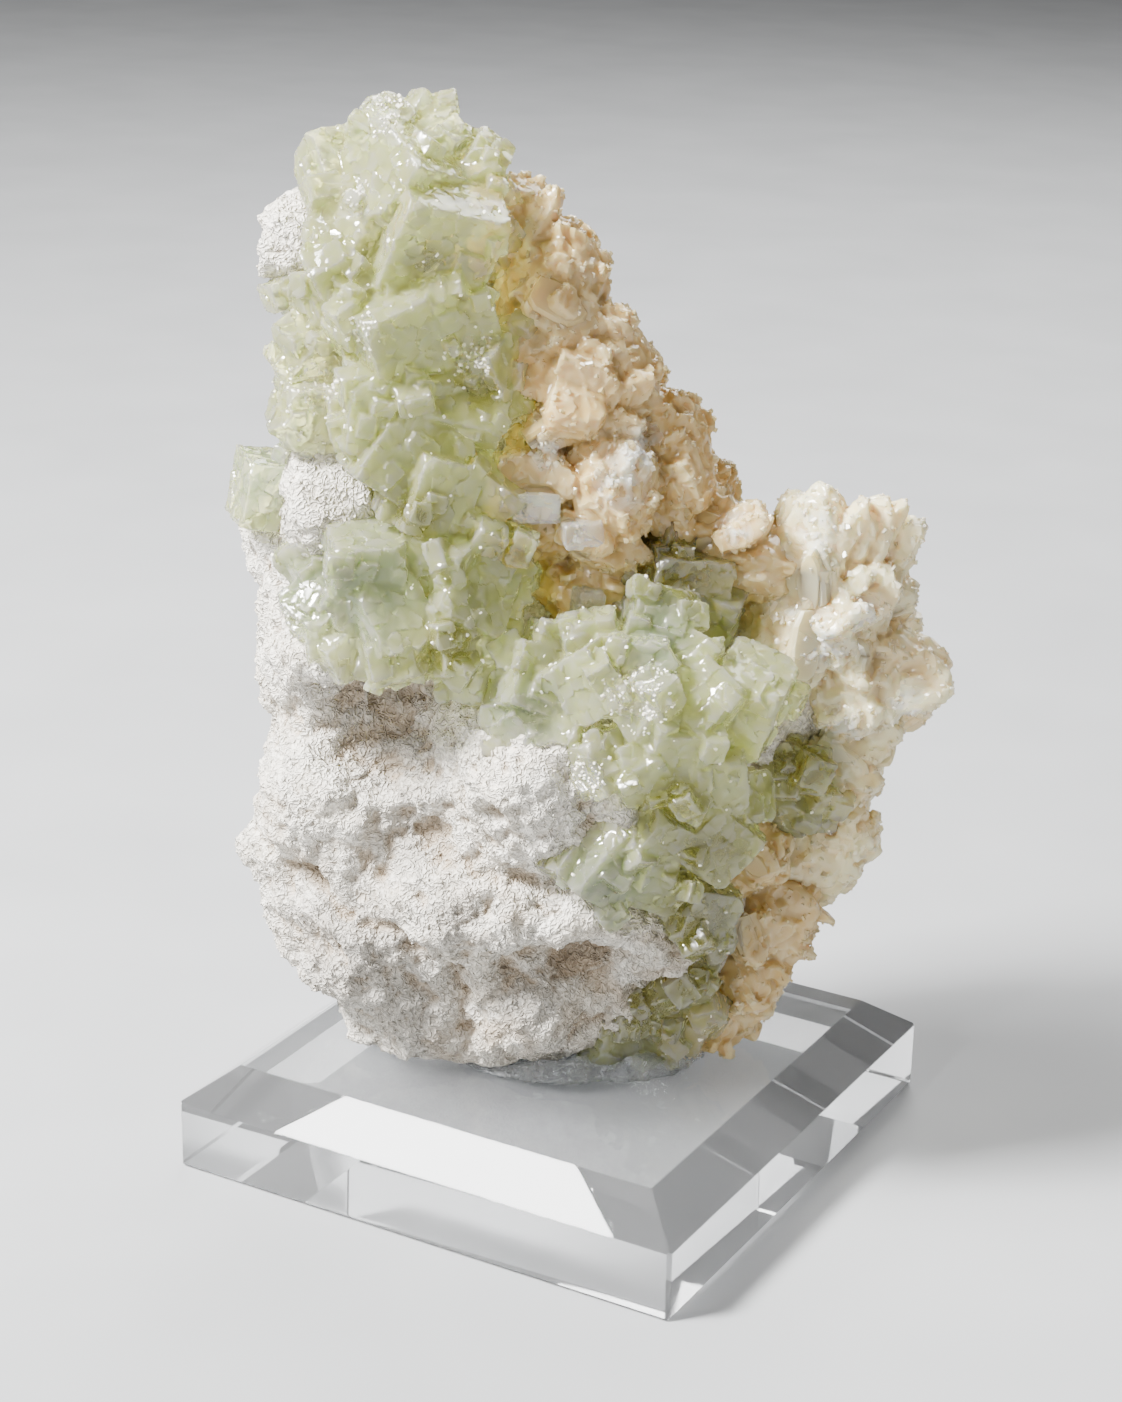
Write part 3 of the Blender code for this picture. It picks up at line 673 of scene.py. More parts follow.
def groove_rows():
    """Small hollows in a row along the crack that crosses the matrix."""
    steps = np.linspace(0, 1, GROOVE_STEPS, endpoint=False)
    return [
        (x0 + (x1 - x0) * share, z0 + (z1 - z0) * share, GROOVE_REACH, GROOVE_PUSH)
        for (x0, z0), (x1, z1) in zip(GROOVE, GROOVE[1:]) for share in steps
    ]


def make_matrix():
    piece = copy_solid("matrix", "woolly_matrix")
    remesh(piece, MATRIX_FIRST_CELL)
    soften(piece, 8)
    remesh(piece, MATRIX_CELL)
    soften(piece, 2)
    points, normals = points_of(piece), normals_of(piece)
    push = np.zeros(len(points))
    for size, height, octaves, shift in MATRIX_SWELLS:
        push += height * swells(points, size, octaves, shift)
    for size, height, sharpness, shift in MATRIX_RIDGES:
        push += height * ridges(points, size, sharpness, shift)
    push += mounds(points, MOUNDS) + mounds(points, groove_rows()) - MATRIX_INSET
    points += normals * push[:, None]
    points[:, 2] = np.maximum(points[:, 2], FOOT_LEVEL)
    move_points(piece, points)
    # pit and hollow drive painted shade: the material darkens pits and hollows toward beige
    store(piece, "pit", np.clip(hollowness(piece, PIT_ROUNDS) * 1.3, -1, 1))
    store(piece, "hollow", np.clip(hollowness(piece, HOLLOW_ROUNDS) * 0.35, -1, 1))
    store(piece, "patch", patches(points, 9.0, -0.25, 0.5, 20.0))
    store(piece, "warm", broken_spots(points, WARM_SPOTS, 5.0, -0.4, 0.3, 30.0))
    # painted shade: grey at the surveyed spots that lie in shade
    store(piece, "shade_grey", near_spots(points, SHADE_SPOTS))
    return piece


# %% [markdown]
# Its colour is near white, with cream in random patches and beige at surveyed warm spots. Pits and
# hollows are painted beige, and surveyed spots that lie in shade are painted grey: both are painted
# shade.
# The mesh carries those masks as attributes, so the painted shade sits in the real hollows. The curls
# too fine for the mesh are left to bump, and their colour is painted as well: the gaps between them
# darker as shade, their crests a little lighter as a highlight.

# %% Wool
WOOL_WHITE = (0.76, 0.735, 0.68, 1)
WOOL_CREAM = (0.68, 0.60, 0.48, 1)
# this beige serves the warm spots and also paints shade in pits and hollows
WOOL_BEIGE_AND_SHADE = (0.40, 0.31, 0.215, 1)
# this grey paints shade at the surveyed shaded spots
WOOL_SHADE_GREY = (0.42, 0.395, 0.36, 1)
# painted shade in the gaps between curls, and a painted highlight on their crests
CURL_GAP_SHADE = (0.70, 0.67, 0.62, 1)
CURL_CREST_HIGHLIGHT = (1.08, 1.06, 1.02, 1)


def make_wool():
    material, tree, shader = new_material("white_wool")
    pit = remap(tree, named(tree, "pit"), 0.1, 0.9)
    hollow = remap(tree, named(tree, "hollow"), 0.05, 0.8)
    patch = named(tree, "patch")
    white = mixed(tree, sums(tree, "MULTIPLY", patch, 0.35), WOOL_WHITE, WOOL_CREAM)
    # painted shade: hollows are darkened toward beige
    hollow_shaded = mixed(tree, sums(tree, "MULTIPLY", hollow, 0.6), white, WOOL_BEIGE_AND_SHADE)
    warmed = mixed(tree, sums(tree, "MULTIPLY", named(tree, "warm"), 0.65), hollow_shaded, WOOL_BEIGE_AND_SHADE)
    # painted shade: grey at the surveyed shaded spots
    shade_greyed = mixed(tree, sums(tree, "MULTIPLY", named(tree, "shade_grey"), 0.75), warmed, WOOL_SHADE_GREY)
    # painted shade: pits are darkened toward beige
    pitted = mixed(tree, sums(tree, "MULTIPLY", pit, 0.65), shade_greyed, WOOL_BEIGE_AND_SHADE)
    curls = grit(tree, 1.25, 0.35, 0.5)
    # painted shade and highlight: the curl height darkens the gaps and lightens the crests
    curl_shade_and_highlight = mixed(tree, remap(tree, curls, 0.1, 0.95), CURL_GAP_SHADE, CURL_CREST_HIGHLIGHT)
    tree.links.new(mixed(tree, 1.0, pitted, curl_shade_and_highlight, "MULTIPLY"), shader.inputs["Base Color"])
    tree.links.new(remap(tree, patch, 0, 1, 0.6, 0.85), shader.inputs["Roughness"])
    bumped(tree, shader, curls, 0.45)
    return material


wool = make_wool()
matrix = make_matrix()
print("matrix cells:", len(matrix.data.polygons))

# %% [markdown]
# ## Scattering with Geometry Nodes
#
# Over the ridges lie thousands of short curled tufts, and elsewhere thousands of tiny crystals
# sparkle. Placing each by hand is out of the question, and a particle system is the old way.
# Geometry Nodes does it with one small tree: points are spread over a surface with a least
# distance between them, a shape from a small collection is set on each, turned, sized and sunk, and
# the result is made real. Every size is a named input, so the same tree serves the tufts, the sugar
# on the stilbite and the druse on the green crystals. The mesh's own `cover` attribute says where
# they grow.

# %% Scatter tree
SCATTER_INPUTS = (
    ("Closest", "NodeSocketFloat"), ("Density", "NodeSocketFloat"), ("Smallest", "NodeSocketFloat"),
    ("Largest", "NodeSocketFloat"), ("Sink", "NodeSocketFloat"), ("Tilt", "NodeSocketFloat"),
    ("Seed", "NodeSocketInt"), ("Shapes", "NodeSocketCollection"), ("Material", "NodeSocketMaterial"),
)
LAST_PICK = 9


def build_scatter():
    """Geometry Nodes tree that grows shapes on a surface. Random picks wrap round the collection."""
    tree = bpy.data.node_groups.new("scatter_on_surface", "GeometryNodeTree")
    tree.is_modifier = True
    tree.interface.new_socket("Geometry", in_out="INPUT", socket_type="NodeSocketGeometry")
    for name, kind in SCATTER_INPUTS:
        tree.interface.new_socket(name, in_out="INPUT", socket_type=kind)
    tree.interface.new_socket("Geometry", in_out="OUTPUT", socket_type="NodeSocketGeometry")
    given = put(tree, "NodeGroupInput").outputs
    seed = given["Seed"]
    cover = put(tree, "GeometryNodeInputNamedAttribute", {"Name": "cover"}, data_type="FLOAT")
    spread = put(tree, "GeometryNodeDistributePointsOnFaces", {
        "Mesh": given["Geometry"], "Distance Min": given["Closest"], "Density Max": given["Density"],
        "Density Factor": cover.outputs["Attribute"], "Seed": seed,
    }, distribute_method="POISSON")
    lean = put(tree, "ShaderNodeMath", {0: given["Tilt"], 1: -1.0}, operation="MULTIPLY").outputs[0]
    least = put(tree, "ShaderNodeCombineXYZ", {"X": lean, "Y": lean, "Z": -pi}).outputs[0]
    most = put(tree, "ShaderNodeCombineXYZ", {"X": given["Tilt"], "Y": given["Tilt"], "Z": pi}).outputs[0]
    turn = put(tree, "FunctionNodeRandomValue", {
        0: least, 1: most, "Seed": seed,
    }, data_type="FLOAT_VECTOR")
    spin = put(tree, "FunctionNodeEulerToRotation", {"Euler": turn.outputs[0]}).outputs[0]
    facing = put(tree, "FunctionNodeRotateRotation", {
        "Rotation": spread.outputs["Rotation"], "Rotate By": spin,
    }, rotation_space="LOCAL")
    size = put(tree, "FunctionNodeRandomValue", {
        2: given["Smallest"], 3: given["Largest"], "Seed": seed,
    }, data_type="FLOAT")
    shapes = put(tree, "GeometryNodeCollectionInfo", {
        "Collection": given["Shapes"], "Separate Children": True, "Reset Children": True,
    })
    pick = put(tree, "FunctionNodeRandomValue", {4: 0, 5: LAST_PICK, "Seed": seed}, data_type="INT")
    placed = put(tree, "GeometryNodeInstanceOnPoints", {
        "Points": spread.outputs["Points"], "Instance": shapes.outputs[0], "Pick Instance": True,
        "Instance Index": pick.outputs[2], "Rotation": facing.outputs[0], "Scale": size.outputs[1],
    })
    down = put(tree, "ShaderNodeMath", {0: given["Sink"], 1: -1.0}, operation="MULTIPLY").outputs[0]
    offset = put(tree, "ShaderNodeCombineXYZ", {"Z": down}).outputs[0]
    sunk = put(tree, "GeometryNodeTranslateInstances", {
        "Instances": placed.outputs[0], "Translation": offset, "Local Space": True,
    })
    real = put(tree, "GeometryNodeRealizeInstances", {"Geometry": sunk.outputs[0]})
    painted = put(tree, "GeometryNodeSetMaterial", {
        "Geometry": real.outputs[0], "Material": given["Material"],
    })
    put(tree, "NodeGroupOutput", {"Geometry": painted.outputs[0]})
    return tree


SCATTER = build_scatter()


def scatter(name, carrier, cover, shapes, material, **values):
    """New piece: shapes grown on a carrier wherever cover, one number a point, is above zero."""
    mesh = carrier.data.copy()
    holder = new_object(name, mesh)
    if "cover" in mesh.attributes:
        mesh.attributes.remove(mesh.attributes["cover"])
    store(holder, "cover", cover)
    spread = holder.modifiers.new("scatter", "NODES")
    spread.node_group = SCATTER
    values |= {"Shapes": shapes, "Material": material}
    for socket in SCATTER.interface.items_tree:
        if socket.in_out == "INPUT" and socket.name in values:
            spread[socket.identifier] = values[socket.name]
    settle(holder)
    return holder


print("scatter inputs:", [name for name, _ in SCATTER_INPUTS])

# %% [markdown]
# ### Tufts
#
# One tuft is a short bent worm, four-sided, since it is used thousands of times: a spine of a few
# points, a square ring round each, and a point at either end. Three bends of it are enough, because
# the scatter also turns and sizes them.

# %% Tuft shapes
TUFT_RINGS = 3
TUFT_LENGTH = 1.7
TUFT_RADIUS = 0.34
TUFT_BENDS = (0.35, 0.8, 1.2)
MIDDLE_DEPTH = 6


def make_tuft(number, bend):
    """Short bent worm along x, thinner toward its two tips."""
    bm = bmesh.new()
    rings = []
    for step in range(TUFT_RINGS):
        along = (step + 0.5) / TUFT_RINGS - 0.5
        middle = Vector((along * TUFT_LENGTH, bend * (0.25 - along * along) * TUFT_LENGTH, 0))
        radius = TUFT_RADIUS * (1 - 1.6 * along * along)
        ring = [
            bm.verts.new(middle + Vector((0, y * radius, z * radius)))
            for y, z in ((1, 0), (0, 1), (-1, 0), (0, -1))
        ]
        rings.append(ring)
    for one, other in zip(rings, rings[1:]):
        for side in range(4):
            bm.faces.new((one[side], other[side], other[side - 3], one[side - 3]))
    for ring, end in ((rings[0], -0.5), (rings[-1], 0.5)):
        tip = bm.verts.new(Vector((end * TUFT_LENGTH, 0, 0)))
        for side in range(4):
            bm.faces.new((tip, ring[side], ring[side - 3]))
    bmesh.ops.recalc_face_normals(bm, faces=bm.faces)
    return from_bmesh(f"tuft_{number}", bm)


def shape_collection(name, shapes):
    """Collection of shapes that only a scatter shows."""
    made = bpy.data.collections.new(name)
    for shape in shapes:
        bpy.context.scene.collection.objects.unlink(shape)
        made.objects.link(shape)
    return made


tufts = shape_collection("tufts", [make_tuft(*row) for row in enumerate(TUFT_BENDS)])

# %% Grow the tufts and finish the matrix
matrix_points = points_of(matrix)
tuft_patches = np.clip(0.85 + 0.8 * swells(matrix_points, 14.0, 2, 3.0), 0.3, 1)
standing = matrix_points[:, 2] > FOOT_LEVEL + 1.5
in_front = matrix_points[:, 1] < MIDDLE_DEPTH
front_tufts = scatter(
    "wool_tufts_front", matrix, tuft_patches * standing * in_front, tufts, wool,
    Closest=1.0, Density=1.0, Smallest=0.4, Largest=0.95, Sink=0.05, Tilt=0.4, Seed=3,
)
back_tufts = scatter(
    "wool_tufts_back", matrix, tuft_patches * standing * ~in_front, tufts, wool,
    Closest=1.1, Density=0.9, Smallest=0.45, Largest=1.0, Sink=0.05, Tilt=0.4, Seed=4,
)
finish(matrix, wool, "matrix", "matrix")
finish(front_tufts, wool, "matrix")
finish(back_tufts, wool, "matrix")

# %% [markdown]
# ## Stilbite
#
# Stilbite grows in flat blades that fan out like a sheaf of corn. Here the blades are peach
# coloured, with pearly faces, and crowd together over a crumbly crust.
#
# Each crust is a mass with blades in it. The mass is made like the matrix, from overlapping lumps
# remeshed in small cells. The large blades were surveyed one by one: a foot, a tip, a width, a thickness
# and a turn. A stilbite blade is really a packet of thinner plates, so each row makes a packet, whose
# plates differ a little in length and width. Their steps are what shows as pearly lines.

# %% Stilbite rows
# lumps: x, z, depth; half width, half depth, half height
# blades: x, z, depth of the foot and of the tip; width, thickness, roll in degrees
SLAB_LUMPS = (
    (-10, 170, 0, 8, 8, 9), (-4, 158, -4, 10, 9, 14), (3, 143, -6, 12, 10, 14),
    (-4, 124, -9, 10, 7, 12), (7.5, 125.5, -14, 8, 7, 10), (16.5, 131, -3, 8, 9, 12),
    (27, 115, -3, 9, 9, 8), (6, 107, -7, 12, 8, 10), (-2, 160, 7, 7, 8, 12),
    (8, 140, 8, 8, 9, 13), (20, 122, 8, 9, 9, 11),
)
SLAB_BLADES = (
    (-12, 165, -3, -6, 177, -2, 12, 5, 20), (-6, 168, -4, 4.5, 162, -3, 10, 5, 40),
    (-8, 160, -10, 4, 153, -9, 12, 6, 10), (-4, 153, -9, 10.5, 151, -6, 12, 6, 55),
    (-10, 150, -12, 4, 143, -12, 13, 5, 15), (-7, 134, -16, 14.5, 147.5, -9, 8, 6, 70),
    (1, 141, -10, 16, 140, -6, 12, 5, 45), (14, 140, -6, 23, 122, -7, 9, 8, 30),
    (12, 132, -8, 22, 116, -9, 8, 6, 60), (22, 121, -6, 33, 117, -8, 9, 6, 10),
    (20, 114, -8, 36, 120, -7, 9, 6, 40), (26, 110, -8, 40, 110, -9, 9, 6, 75),
    (-12, 128, -14, 2, 126, -15, 9, 6, 35), (0, 118, -14, 12, 112, -13, 10, 6, 20),
)
SPRAY_LUMPS = (
    (40, 100, -2, 10, 11, 14), (48, 107, -3, 10, 10, 12), (50, 90, -1, 10, 11, 10),
    (48, 75, 3, 10, 11, 10), (45, 58, 3, 11, 12, 9), (52, 61, -2, 4.8, 6, 5.5),
    (44, 98, 9, 9, 8, 11),
)
SPRAY_BLADES = (
    (42, 108, -6, 45, 126.5, -7, 10, 6, 5), (41, 110, -3, 39.5, 125.3, -2, 7, 4, 30),
    (47, 106, -6, 55.5, 124.8, -5, 10, 5, 15), (49, 104, -3, 60.5, 120.5, -1, 9, 5, 35),
    (50, 103, -4, 62.3, 108, -2, 10, 5, 70), (49, 103, -8, 58.5, 111, -10, 10, 5, 25),
    (46, 106, -9, 50, 98, -15, 10, 5, 50), (44, 106, -9, 43.5, 116, -13, 9, 5, 0),
    (42, 104, -8, 40.5, 87.5, -11, 9.5, 6, 10), (48, 98, -7, 54.5, 93, -11, 9, 5, 60),
    (45, 90, -5, 58.5, 81.5, -9, 11, 7, 40), (50, 94, -3, 69.5, 89.5, -5, 13, 10, 25),
    (50, 96, -2, 63, 96.8, -4, 10, 6, 0), (47, 82, -3, 60, 76.5, -4, 10, 7, 20),
    (44, 78, -3, 55.5, 71, -5, 10, 6, 45), (36, 112, -6, 43, 118, -9, 8, 5, 60),
    (44, 104, 5, 50, 119, 11, 10, 5, 10), (48, 98, 7, 60, 104, 14, 10, 5, 40),
    (49, 90, 6, 62, 88, 12, 11, 6, 0),
)
CRUST_LUMPS = (
    (37, 45, -1, 9, 12, 10), (34, 33, -3, 8, 11, 9), (27, 24.5, -4, 9, 10, 7.5),
    (33, 57, -8, 8, 8, 8),
)
CRUST_BLADES = (
    (36, 50, -6, 48, 44, -7, 8, 6, 30), (36, 46, -6, 47, 39.5, -6, 6, 5, 70),
    (35, 41, -6, 45, 35.5, -6, 7, 5, 10), (33, 36, -7, 42, 31, -7, 7, 5, 50),
    (31, 31, -8, 39, 26, -7, 7, 5, 20), (28, 27, -8, 36.5, 21.5, -8, 7, 5, 60),
    (33, 44, -11, 36, 33, -13, 7, 5, 0), (30, 60, -13, 39, 52, -14, 8, 5, 30),
)
print("surveyed blades:", len(SLAB_BLADES) + len(SPRAY_BLADES) + len(CRUST_BLADES))

# %% [markdown]
# A blade's outline runs up one side, round a blunt two-shouldered tip and down the other. Four copies
# of it, the outer two drawn in, make a plate with soft rims. All plates of a crust go into one mesh
# with its lumps, and a remesh in small cells fuses them. That rounds the rims a little, which is
# right here: the blades are grown together, and none has a knife edge.

# %% Plates
PLATE_OUTLINE = (
    (-0.36, 0.0), (-0.5, 0.22), (-0.52, 0.55), (-0.46, 0.78), (-0.3, 0.92), (-0.08, 1.0),
    (0.16, 0.98), (0.36, 0.88), (0.49, 0.7), (0.51, 0.45), (0.46, 0.2), (0.36, 0.0),
)
PLATES_IN_PACKET = 3
COMPANIONS = 3
HALF_ROLL = 35
# height across the plate's thickness, share drawn in
PLATE_LEVELS = ((-0.5, 0.17), (-0.26, 0.0), (0.26, 0.0), (0.5, 0.17))
PLATE_WAVER = 0.04
PLATE_OVERLAP = 1.6
BLADES_ON_LUMP = 66
BLADE_ROOT = 3
BLADE_PROUD = 2.2
BLADE_WIDTHS = (2.2, 7.0)
BLADE_THICKNESSES = (0.7, 1.4)
FAN_WAY = Vector((0.35, 0, 0.25))


def add_plate(bm, place, width, thickness, length, draw):
    """One plate with soft rims, its foot at the origin of place and its length along z."""
    waver = [draw.uniform(-PLATE_WAVER, PLATE_WAVER) for _ in PLATE_OUTLINE]
    rings = []
    for level, inset in PLATE_LEVELS:
        ring = []
        for (across, along), aside in zip(PLATE_OUTLINE, waver):
            x = (across + aside) * width * (1 - inset)
            z = (along + aside) * length - inset * width * 0.5 * (along > 0.5)
            ring.append(bm.verts.new(place @ Vector((x, level * thickness, z))))
        rings.append(ring)
    bm.faces.new(rings[0])
    bm.faces.new(reversed(rings[3]))
    for one, other in zip(rings, rings[1:]):
        for step in range(len(one)):
            bm.faces.new((one[step], one[step - 1], other[step - 1], other[step]))


def add_packet(bm, foot, tip, width, thickness, roll, draw, plates=PLATES_IN_PACKET):
    """A blade as a packet of plates whose ends step back a little. At half roll it faces the front."""
    length = (tip - foot).length
    along = (tip - foot).normalized()
    across = along.cross(Vector((0, 1, 0))).normalized()
    facing = Matrix((across, along.cross(across), along)).transposed().to_4x4()
    place = Matrix.Translation(foot) @ facing @ Matrix.Rotation(radians(roll - HALF_ROLL), 4, "Z")
    each = thickness / plates
    for number in range(plates):
        aside = (number - (plates - 1) / 2) * each
        lean = Euler((radians(-aside * 1.2), radians(draw.uniform(-2, 2)), 0)).to_matrix().to_4x4()
        shift = Matrix.Translation((draw.uniform(-PLATE_WAVER, PLATE_WAVER) * width, aside, 0))
        wide = width * draw.uniform(0.8, 1.0)
        long = length * draw.uniform(0.88, 1.0)
        add_plate(bm, place @ shift @ lean, wide, each * PLATE_OVERLAP, long, draw)


def stray(draw, reach):
    """Random step of up to reach along each axis."""
    return Vector([draw.uniform(-reach, reach) for _ in range(3)])


def add_companions(bm, foot, tip, width, thickness, roll, draw):
    """Smaller blades of much the same direction, set round a surveyed one."""
    for _ in range(COMPANIONS):
        share = draw.uniform(0.4, 0.8)
        aside = stray(draw, 0.45 * width)
        start = foot.lerp(tip, draw.uniform(0.0, 0.4)) + aside
        end = foot.lerp(tip, draw.uniform(0.65, 0.95)) + aside + stray(draw, 0.2 * width)
        turned = roll + draw.uniform(-35, 35)
        add_packet(bm, start, end, width * share * 0.85, thickness * share, turned, draw, plates=1)


def add_sheaf(bm, lump, draw):
    """Small blades all over a lump, which stand out of it a little."""
    x, z, depth, *radii = lump
    for _ in range(BLADES_ON_LUMP):
        way = Vector([draw.gauss(0, 1) for _ in range(3)]).normalized()
        place = seen(x, z, depth) + way * Vector(radii)
        lean = (way * 0.8 + FAN_WAY + stray(draw, 0.6)).normalized()
        foot, tip = place - lean * BLADE_ROOT, place + lean * BLADE_PROUD * draw.uniform(0.2, 1.0)
        size = (draw.uniform(*BLADE_WIDTHS), draw.uniform(*BLADE_THICKNESSES))
        add_packet(bm, foot, tip, *size, draw.uniform(-30, 100), draw, plates=1)


# %% [markdown]
# The lumps mustn't show as lumps, so dozens of small blades stand out all over each of them. After
# the remesh, flat facets and fine lines are pressed in. The lines run outwards from the middle of each
# lump, as the blades of a sheaf do. The mesh is made finer than it has to stay, then thinned, which
# keeps its triangles where edges are.
#
# Round the three clear crystals the crust is moved back, so that they sit on it in the open. The masks
# come from the fused mesh: deep places are painted browner as shade, raised rims paler as a painted
# highlight, and the surveyed pearly spots nearly white, partly as white druse and partly as a painted
# sheen.

# %% Stilbite crusts
STILBITE_CELL = 0.42
STILBITE_KEPT = 0.6
PLATE_FACET_MM = 1.9
PLATE_FACET_SLOPE = 0.25
LINE_PITCH_MM = 1.4
LINE_DEPTH_MM = 0.3
SHEAF_HEART = (-3.0, 6.0, -4.0)
CLEAR_NODES = ("clear_crystal_flat", "clear_crystal_low", "clear_crystal_upright")
ROOM_REACH = 6.5
# x, z, reach of white pearly spots: partly white druse, partly a painted sheen
PEARL_AND_SHEEN_SPOTS = (
    (44.5, 116, 5), (53.5, 100.5, 4), (46.5, 95, 7), (37.5, 87, 4.5), (50.5, 77, 6),
    (62.5, 82, 5), (9, 126, 6), (-4, 131, 3.5), (12, 131, 5), (30, 116, 3), (39, 100, 3),
)


def add_lump(bm, lump):
    x, z, depth, wide, deep, high = lump
    place = Matrix.Translation(seen(x, z, depth)) @ Matrix.Diagonal((wide, deep, high, 1))
    bmesh.ops.create_icosphere(bm, subdivisions=3, radius=1, matrix=place)


def sheaf_lines(points, lumps):
    """Ridges that run outwards from the middle of the nearest lump, as blades do in a sheaf."""
    middles = np.array([seen(*lump[:3]) for lump in lumps])
    radii = np.array([lump[3:] for lump in lumps])
    away = np.linalg.norm((points[:, None, :] - middles) / radii, axis=2)
    nearest = away.argmin(axis=1)
    outwards = points - middles[nearest] - np.array(SHEAF_HEART)
    outwards /= np.linalg.norm(outwards, axis=1)[:, None]
    return ridges(outwards, LINE_PITCH_MM / radii.mean(), 2.6)


def middle_of(node):
    """Middle of a solid, in the specimen's frame."""
    corners = [TO_SPECIMEN @ vertex.co for vertex in frame["nodes"][node].data.vertices]
    return sum(corners, Vector()) / len(corners)


def make_room(points):
    """Moves points back round the clear crystals, so that no blade covers one."""
    for node in CLEAR_NODES:
        middle = middle_of(node)
        away = np.hypot(points[:, 0] - middle.x, points[:, 2] - middle.z) / ROOM_REACH
        limit = middle.y + 1.0 - 10.0 * np.clip(away - 0.6, 0, 1)
        points[:, 1] = np.where(away < 1, np.maximum(points[:, 1], limit), points[:, 1])


def mark_stilbite(piece, pale):
    """Stores the masks that the stilbite's material reads."""
    points = points_of(piece)
    creamy = pale + 0.4 * patches(points, 8.0, -0.3, 0.4, 40.0) - 0.2
    store(piece, "creamy", np.clip(creamy, 0, 1))
    # pearly spots: partly white druse, partly a painted sheen
    store(piece, "pearl_and_sheen", broken_spots(points, PEARL_AND_SHEEN_SPOTS, 2.4, -0.35, 0.15, 50.0))


def make_crust(name, lumps, rows, seed, pale):
    """One stilbite crust: lumps, small blades on them and the surveyed blades, fused."""
    draw = random.Random(seed)
    bm = bmesh.new()
    for lump in lumps:
        add_lump(bm, lump)
        add_sheaf(bm, lump, draw)
    for x0, z0, depth0, x1, z1, depth1, *size in rows:
        foot, tip = seen(x0, z0, depth0), seen(x1, z1, depth1)
        add_packet(bm, foot, tip, *size, draw)
        add_companions(bm, foot, tip, *size, draw)
    bmesh.ops.recalc_face_normals(bm, faces=bm.faces)
    piece = from_bmesh(name, bm)
    remesh(piece, STILBITE_CELL)
    soften(piece, 1, 0.3)
    points, normals = points_of(piece), normals_of(piece)
    push = facets(points, PLATE_FACET_MM, PLATE_FACET_SLOPE)
    push += LINE_DEPTH_MM * (sheaf_lines(points, lumps) - 0.5)
    points += normals * push[:, None]
    points[:, 2] = np.maximum(points[:, 2], FOOT_LEVEL)
    make_room(points)
    move_points(piece, points)
    thin_out(piece, STILBITE_KEPT)
    # hollow drives painted shade, deep places browner, and rim a painted highlight, raised rims paler
    store(piece, "hollow", np.clip(hollowness(piece, 25) * 0.7, -1, 1))
    store(piece, "rim", np.clip(-hollowness(piece, 3) / STILBITE_CELL * 5.0 - 0.15, 0, 1))
    mark_stilbite(piece, pale)
    return piece


# %% [markdown]
# The remesh rounds every rim, but a blade's outermost plates keep theirs. So each surveyed blade also
# gets a few separate plates, most of each sunk in it, whose rims stand out as low steps.

# %% Crisp plates
STEPS_PER_BLADE = 4


def make_steps(name, rows, seed, pale):
    """Separate thin plates that step out of the surveyed blades."""
    draw = random.Random(seed + 50)
    bm = bmesh.new()
    for x0, z0, depth0, x1, z1, depth1, width, thickness, roll in rows:
        for _ in range(STEPS_PER_BLADE):
            forward = Vector((0, -draw.uniform(0.1, 0.45) * thickness, 0)) + stray(draw, 0.12 * width)
            foot, tip = seen(x0, z0, depth0) + forward, seen(x1, z1, depth1) + forward
            tip = foot.lerp(tip, draw.uniform(0.7, 0.97))
            size = (width * draw.uniform(0.4, 0.85), thickness * draw.uniform(0.15, 0.3))
            add_packet(bm, foot, tip, *size, roll + draw.uniform(-14, 14), draw, plates=1)
    bmesh.ops.recalc_face_normals(bm, faces=bm.faces)
    piece = from_bmesh(name, bm)
    points = points_of(piece)
    make_room(points)
    move_points(piece, points)
    mark_stilbite(piece, pale)
    return piece


# %% [markdown]
# Stilbite is translucent without being clear: light enters a blade, wanders and comes out peach.
# Subsurface does that, with some plain transmission. It reaches farthest for red, so thin rims glow
# warm.

# %% Stilbite
PEACH = (0.72, 0.50, 0.20, 1)
# painted shade colour for deep places
PEACH_SHADE = (0.38, 0.25, 0.08, 1)
CREAM = (1.0, 0.85, 0.52, 1)
# this near white paints a highlight on raised rims, and the pearly spots
PEARL_AND_HIGHLIGHT = (1.0, 0.94, 0.80, 1)
STILBITE_IOR = 1.5
PEACH_TRANSMISSION = 0.34
PEACH_SCATTER = 0.7
PEACH_RADIUS = (1.0, 0.85, 0.6)
PEACH_REACH = 0.0035


def make_peach():
    material, tree, shader = new_material("peach_stilbite")
    body = mixed(tree, named(tree, "creamy"), PEACH, CREAM)
    # painted shade: deep places turn browner
    shaded = mixed(tree, remap(tree, named(tree, "hollow"), 0.1, 0.9, 0.0, 0.75), body, PEACH_SHADE)
    # pearly spots: partly white druse, partly a painted sheen
    pearl_and_sheen = named(tree, "pearl_and_sheen")
    # painted highlight: raised rims are made a little paler, and the frost mask joins them with the
    # pearly spots
    rim = sums(tree, "MULTIPLY", named(tree, "rim"), 0.12)
    frost_and_highlight = sums(tree, "MAXIMUM", rim, pearl_and_sheen)
    tree.links.new(mixed(tree, frost_and_highlight, shaded, PEARL_AND_HIGHLIGHT), shader.inputs["Base Color"])
    tree.links.new(remap(tree, frost_and_highlight, 0, 1, 0.22, 0.5), shader.inputs["Roughness"])
    shader.inputs["IOR"].default_value = STILBITE_IOR
    shader.inputs["Transmission Weight"].default_value = PEACH_TRANSMISSION
    shader.inputs["Subsurface Weight"].default_value = PEACH_SCATTER
    shader.inputs["Subsurface Radius"].default_value = PEACH_RADIUS
    shader.inputs["Subsurface Scale"].default_value = PEACH_REACH
    return material


peach = make_peach()

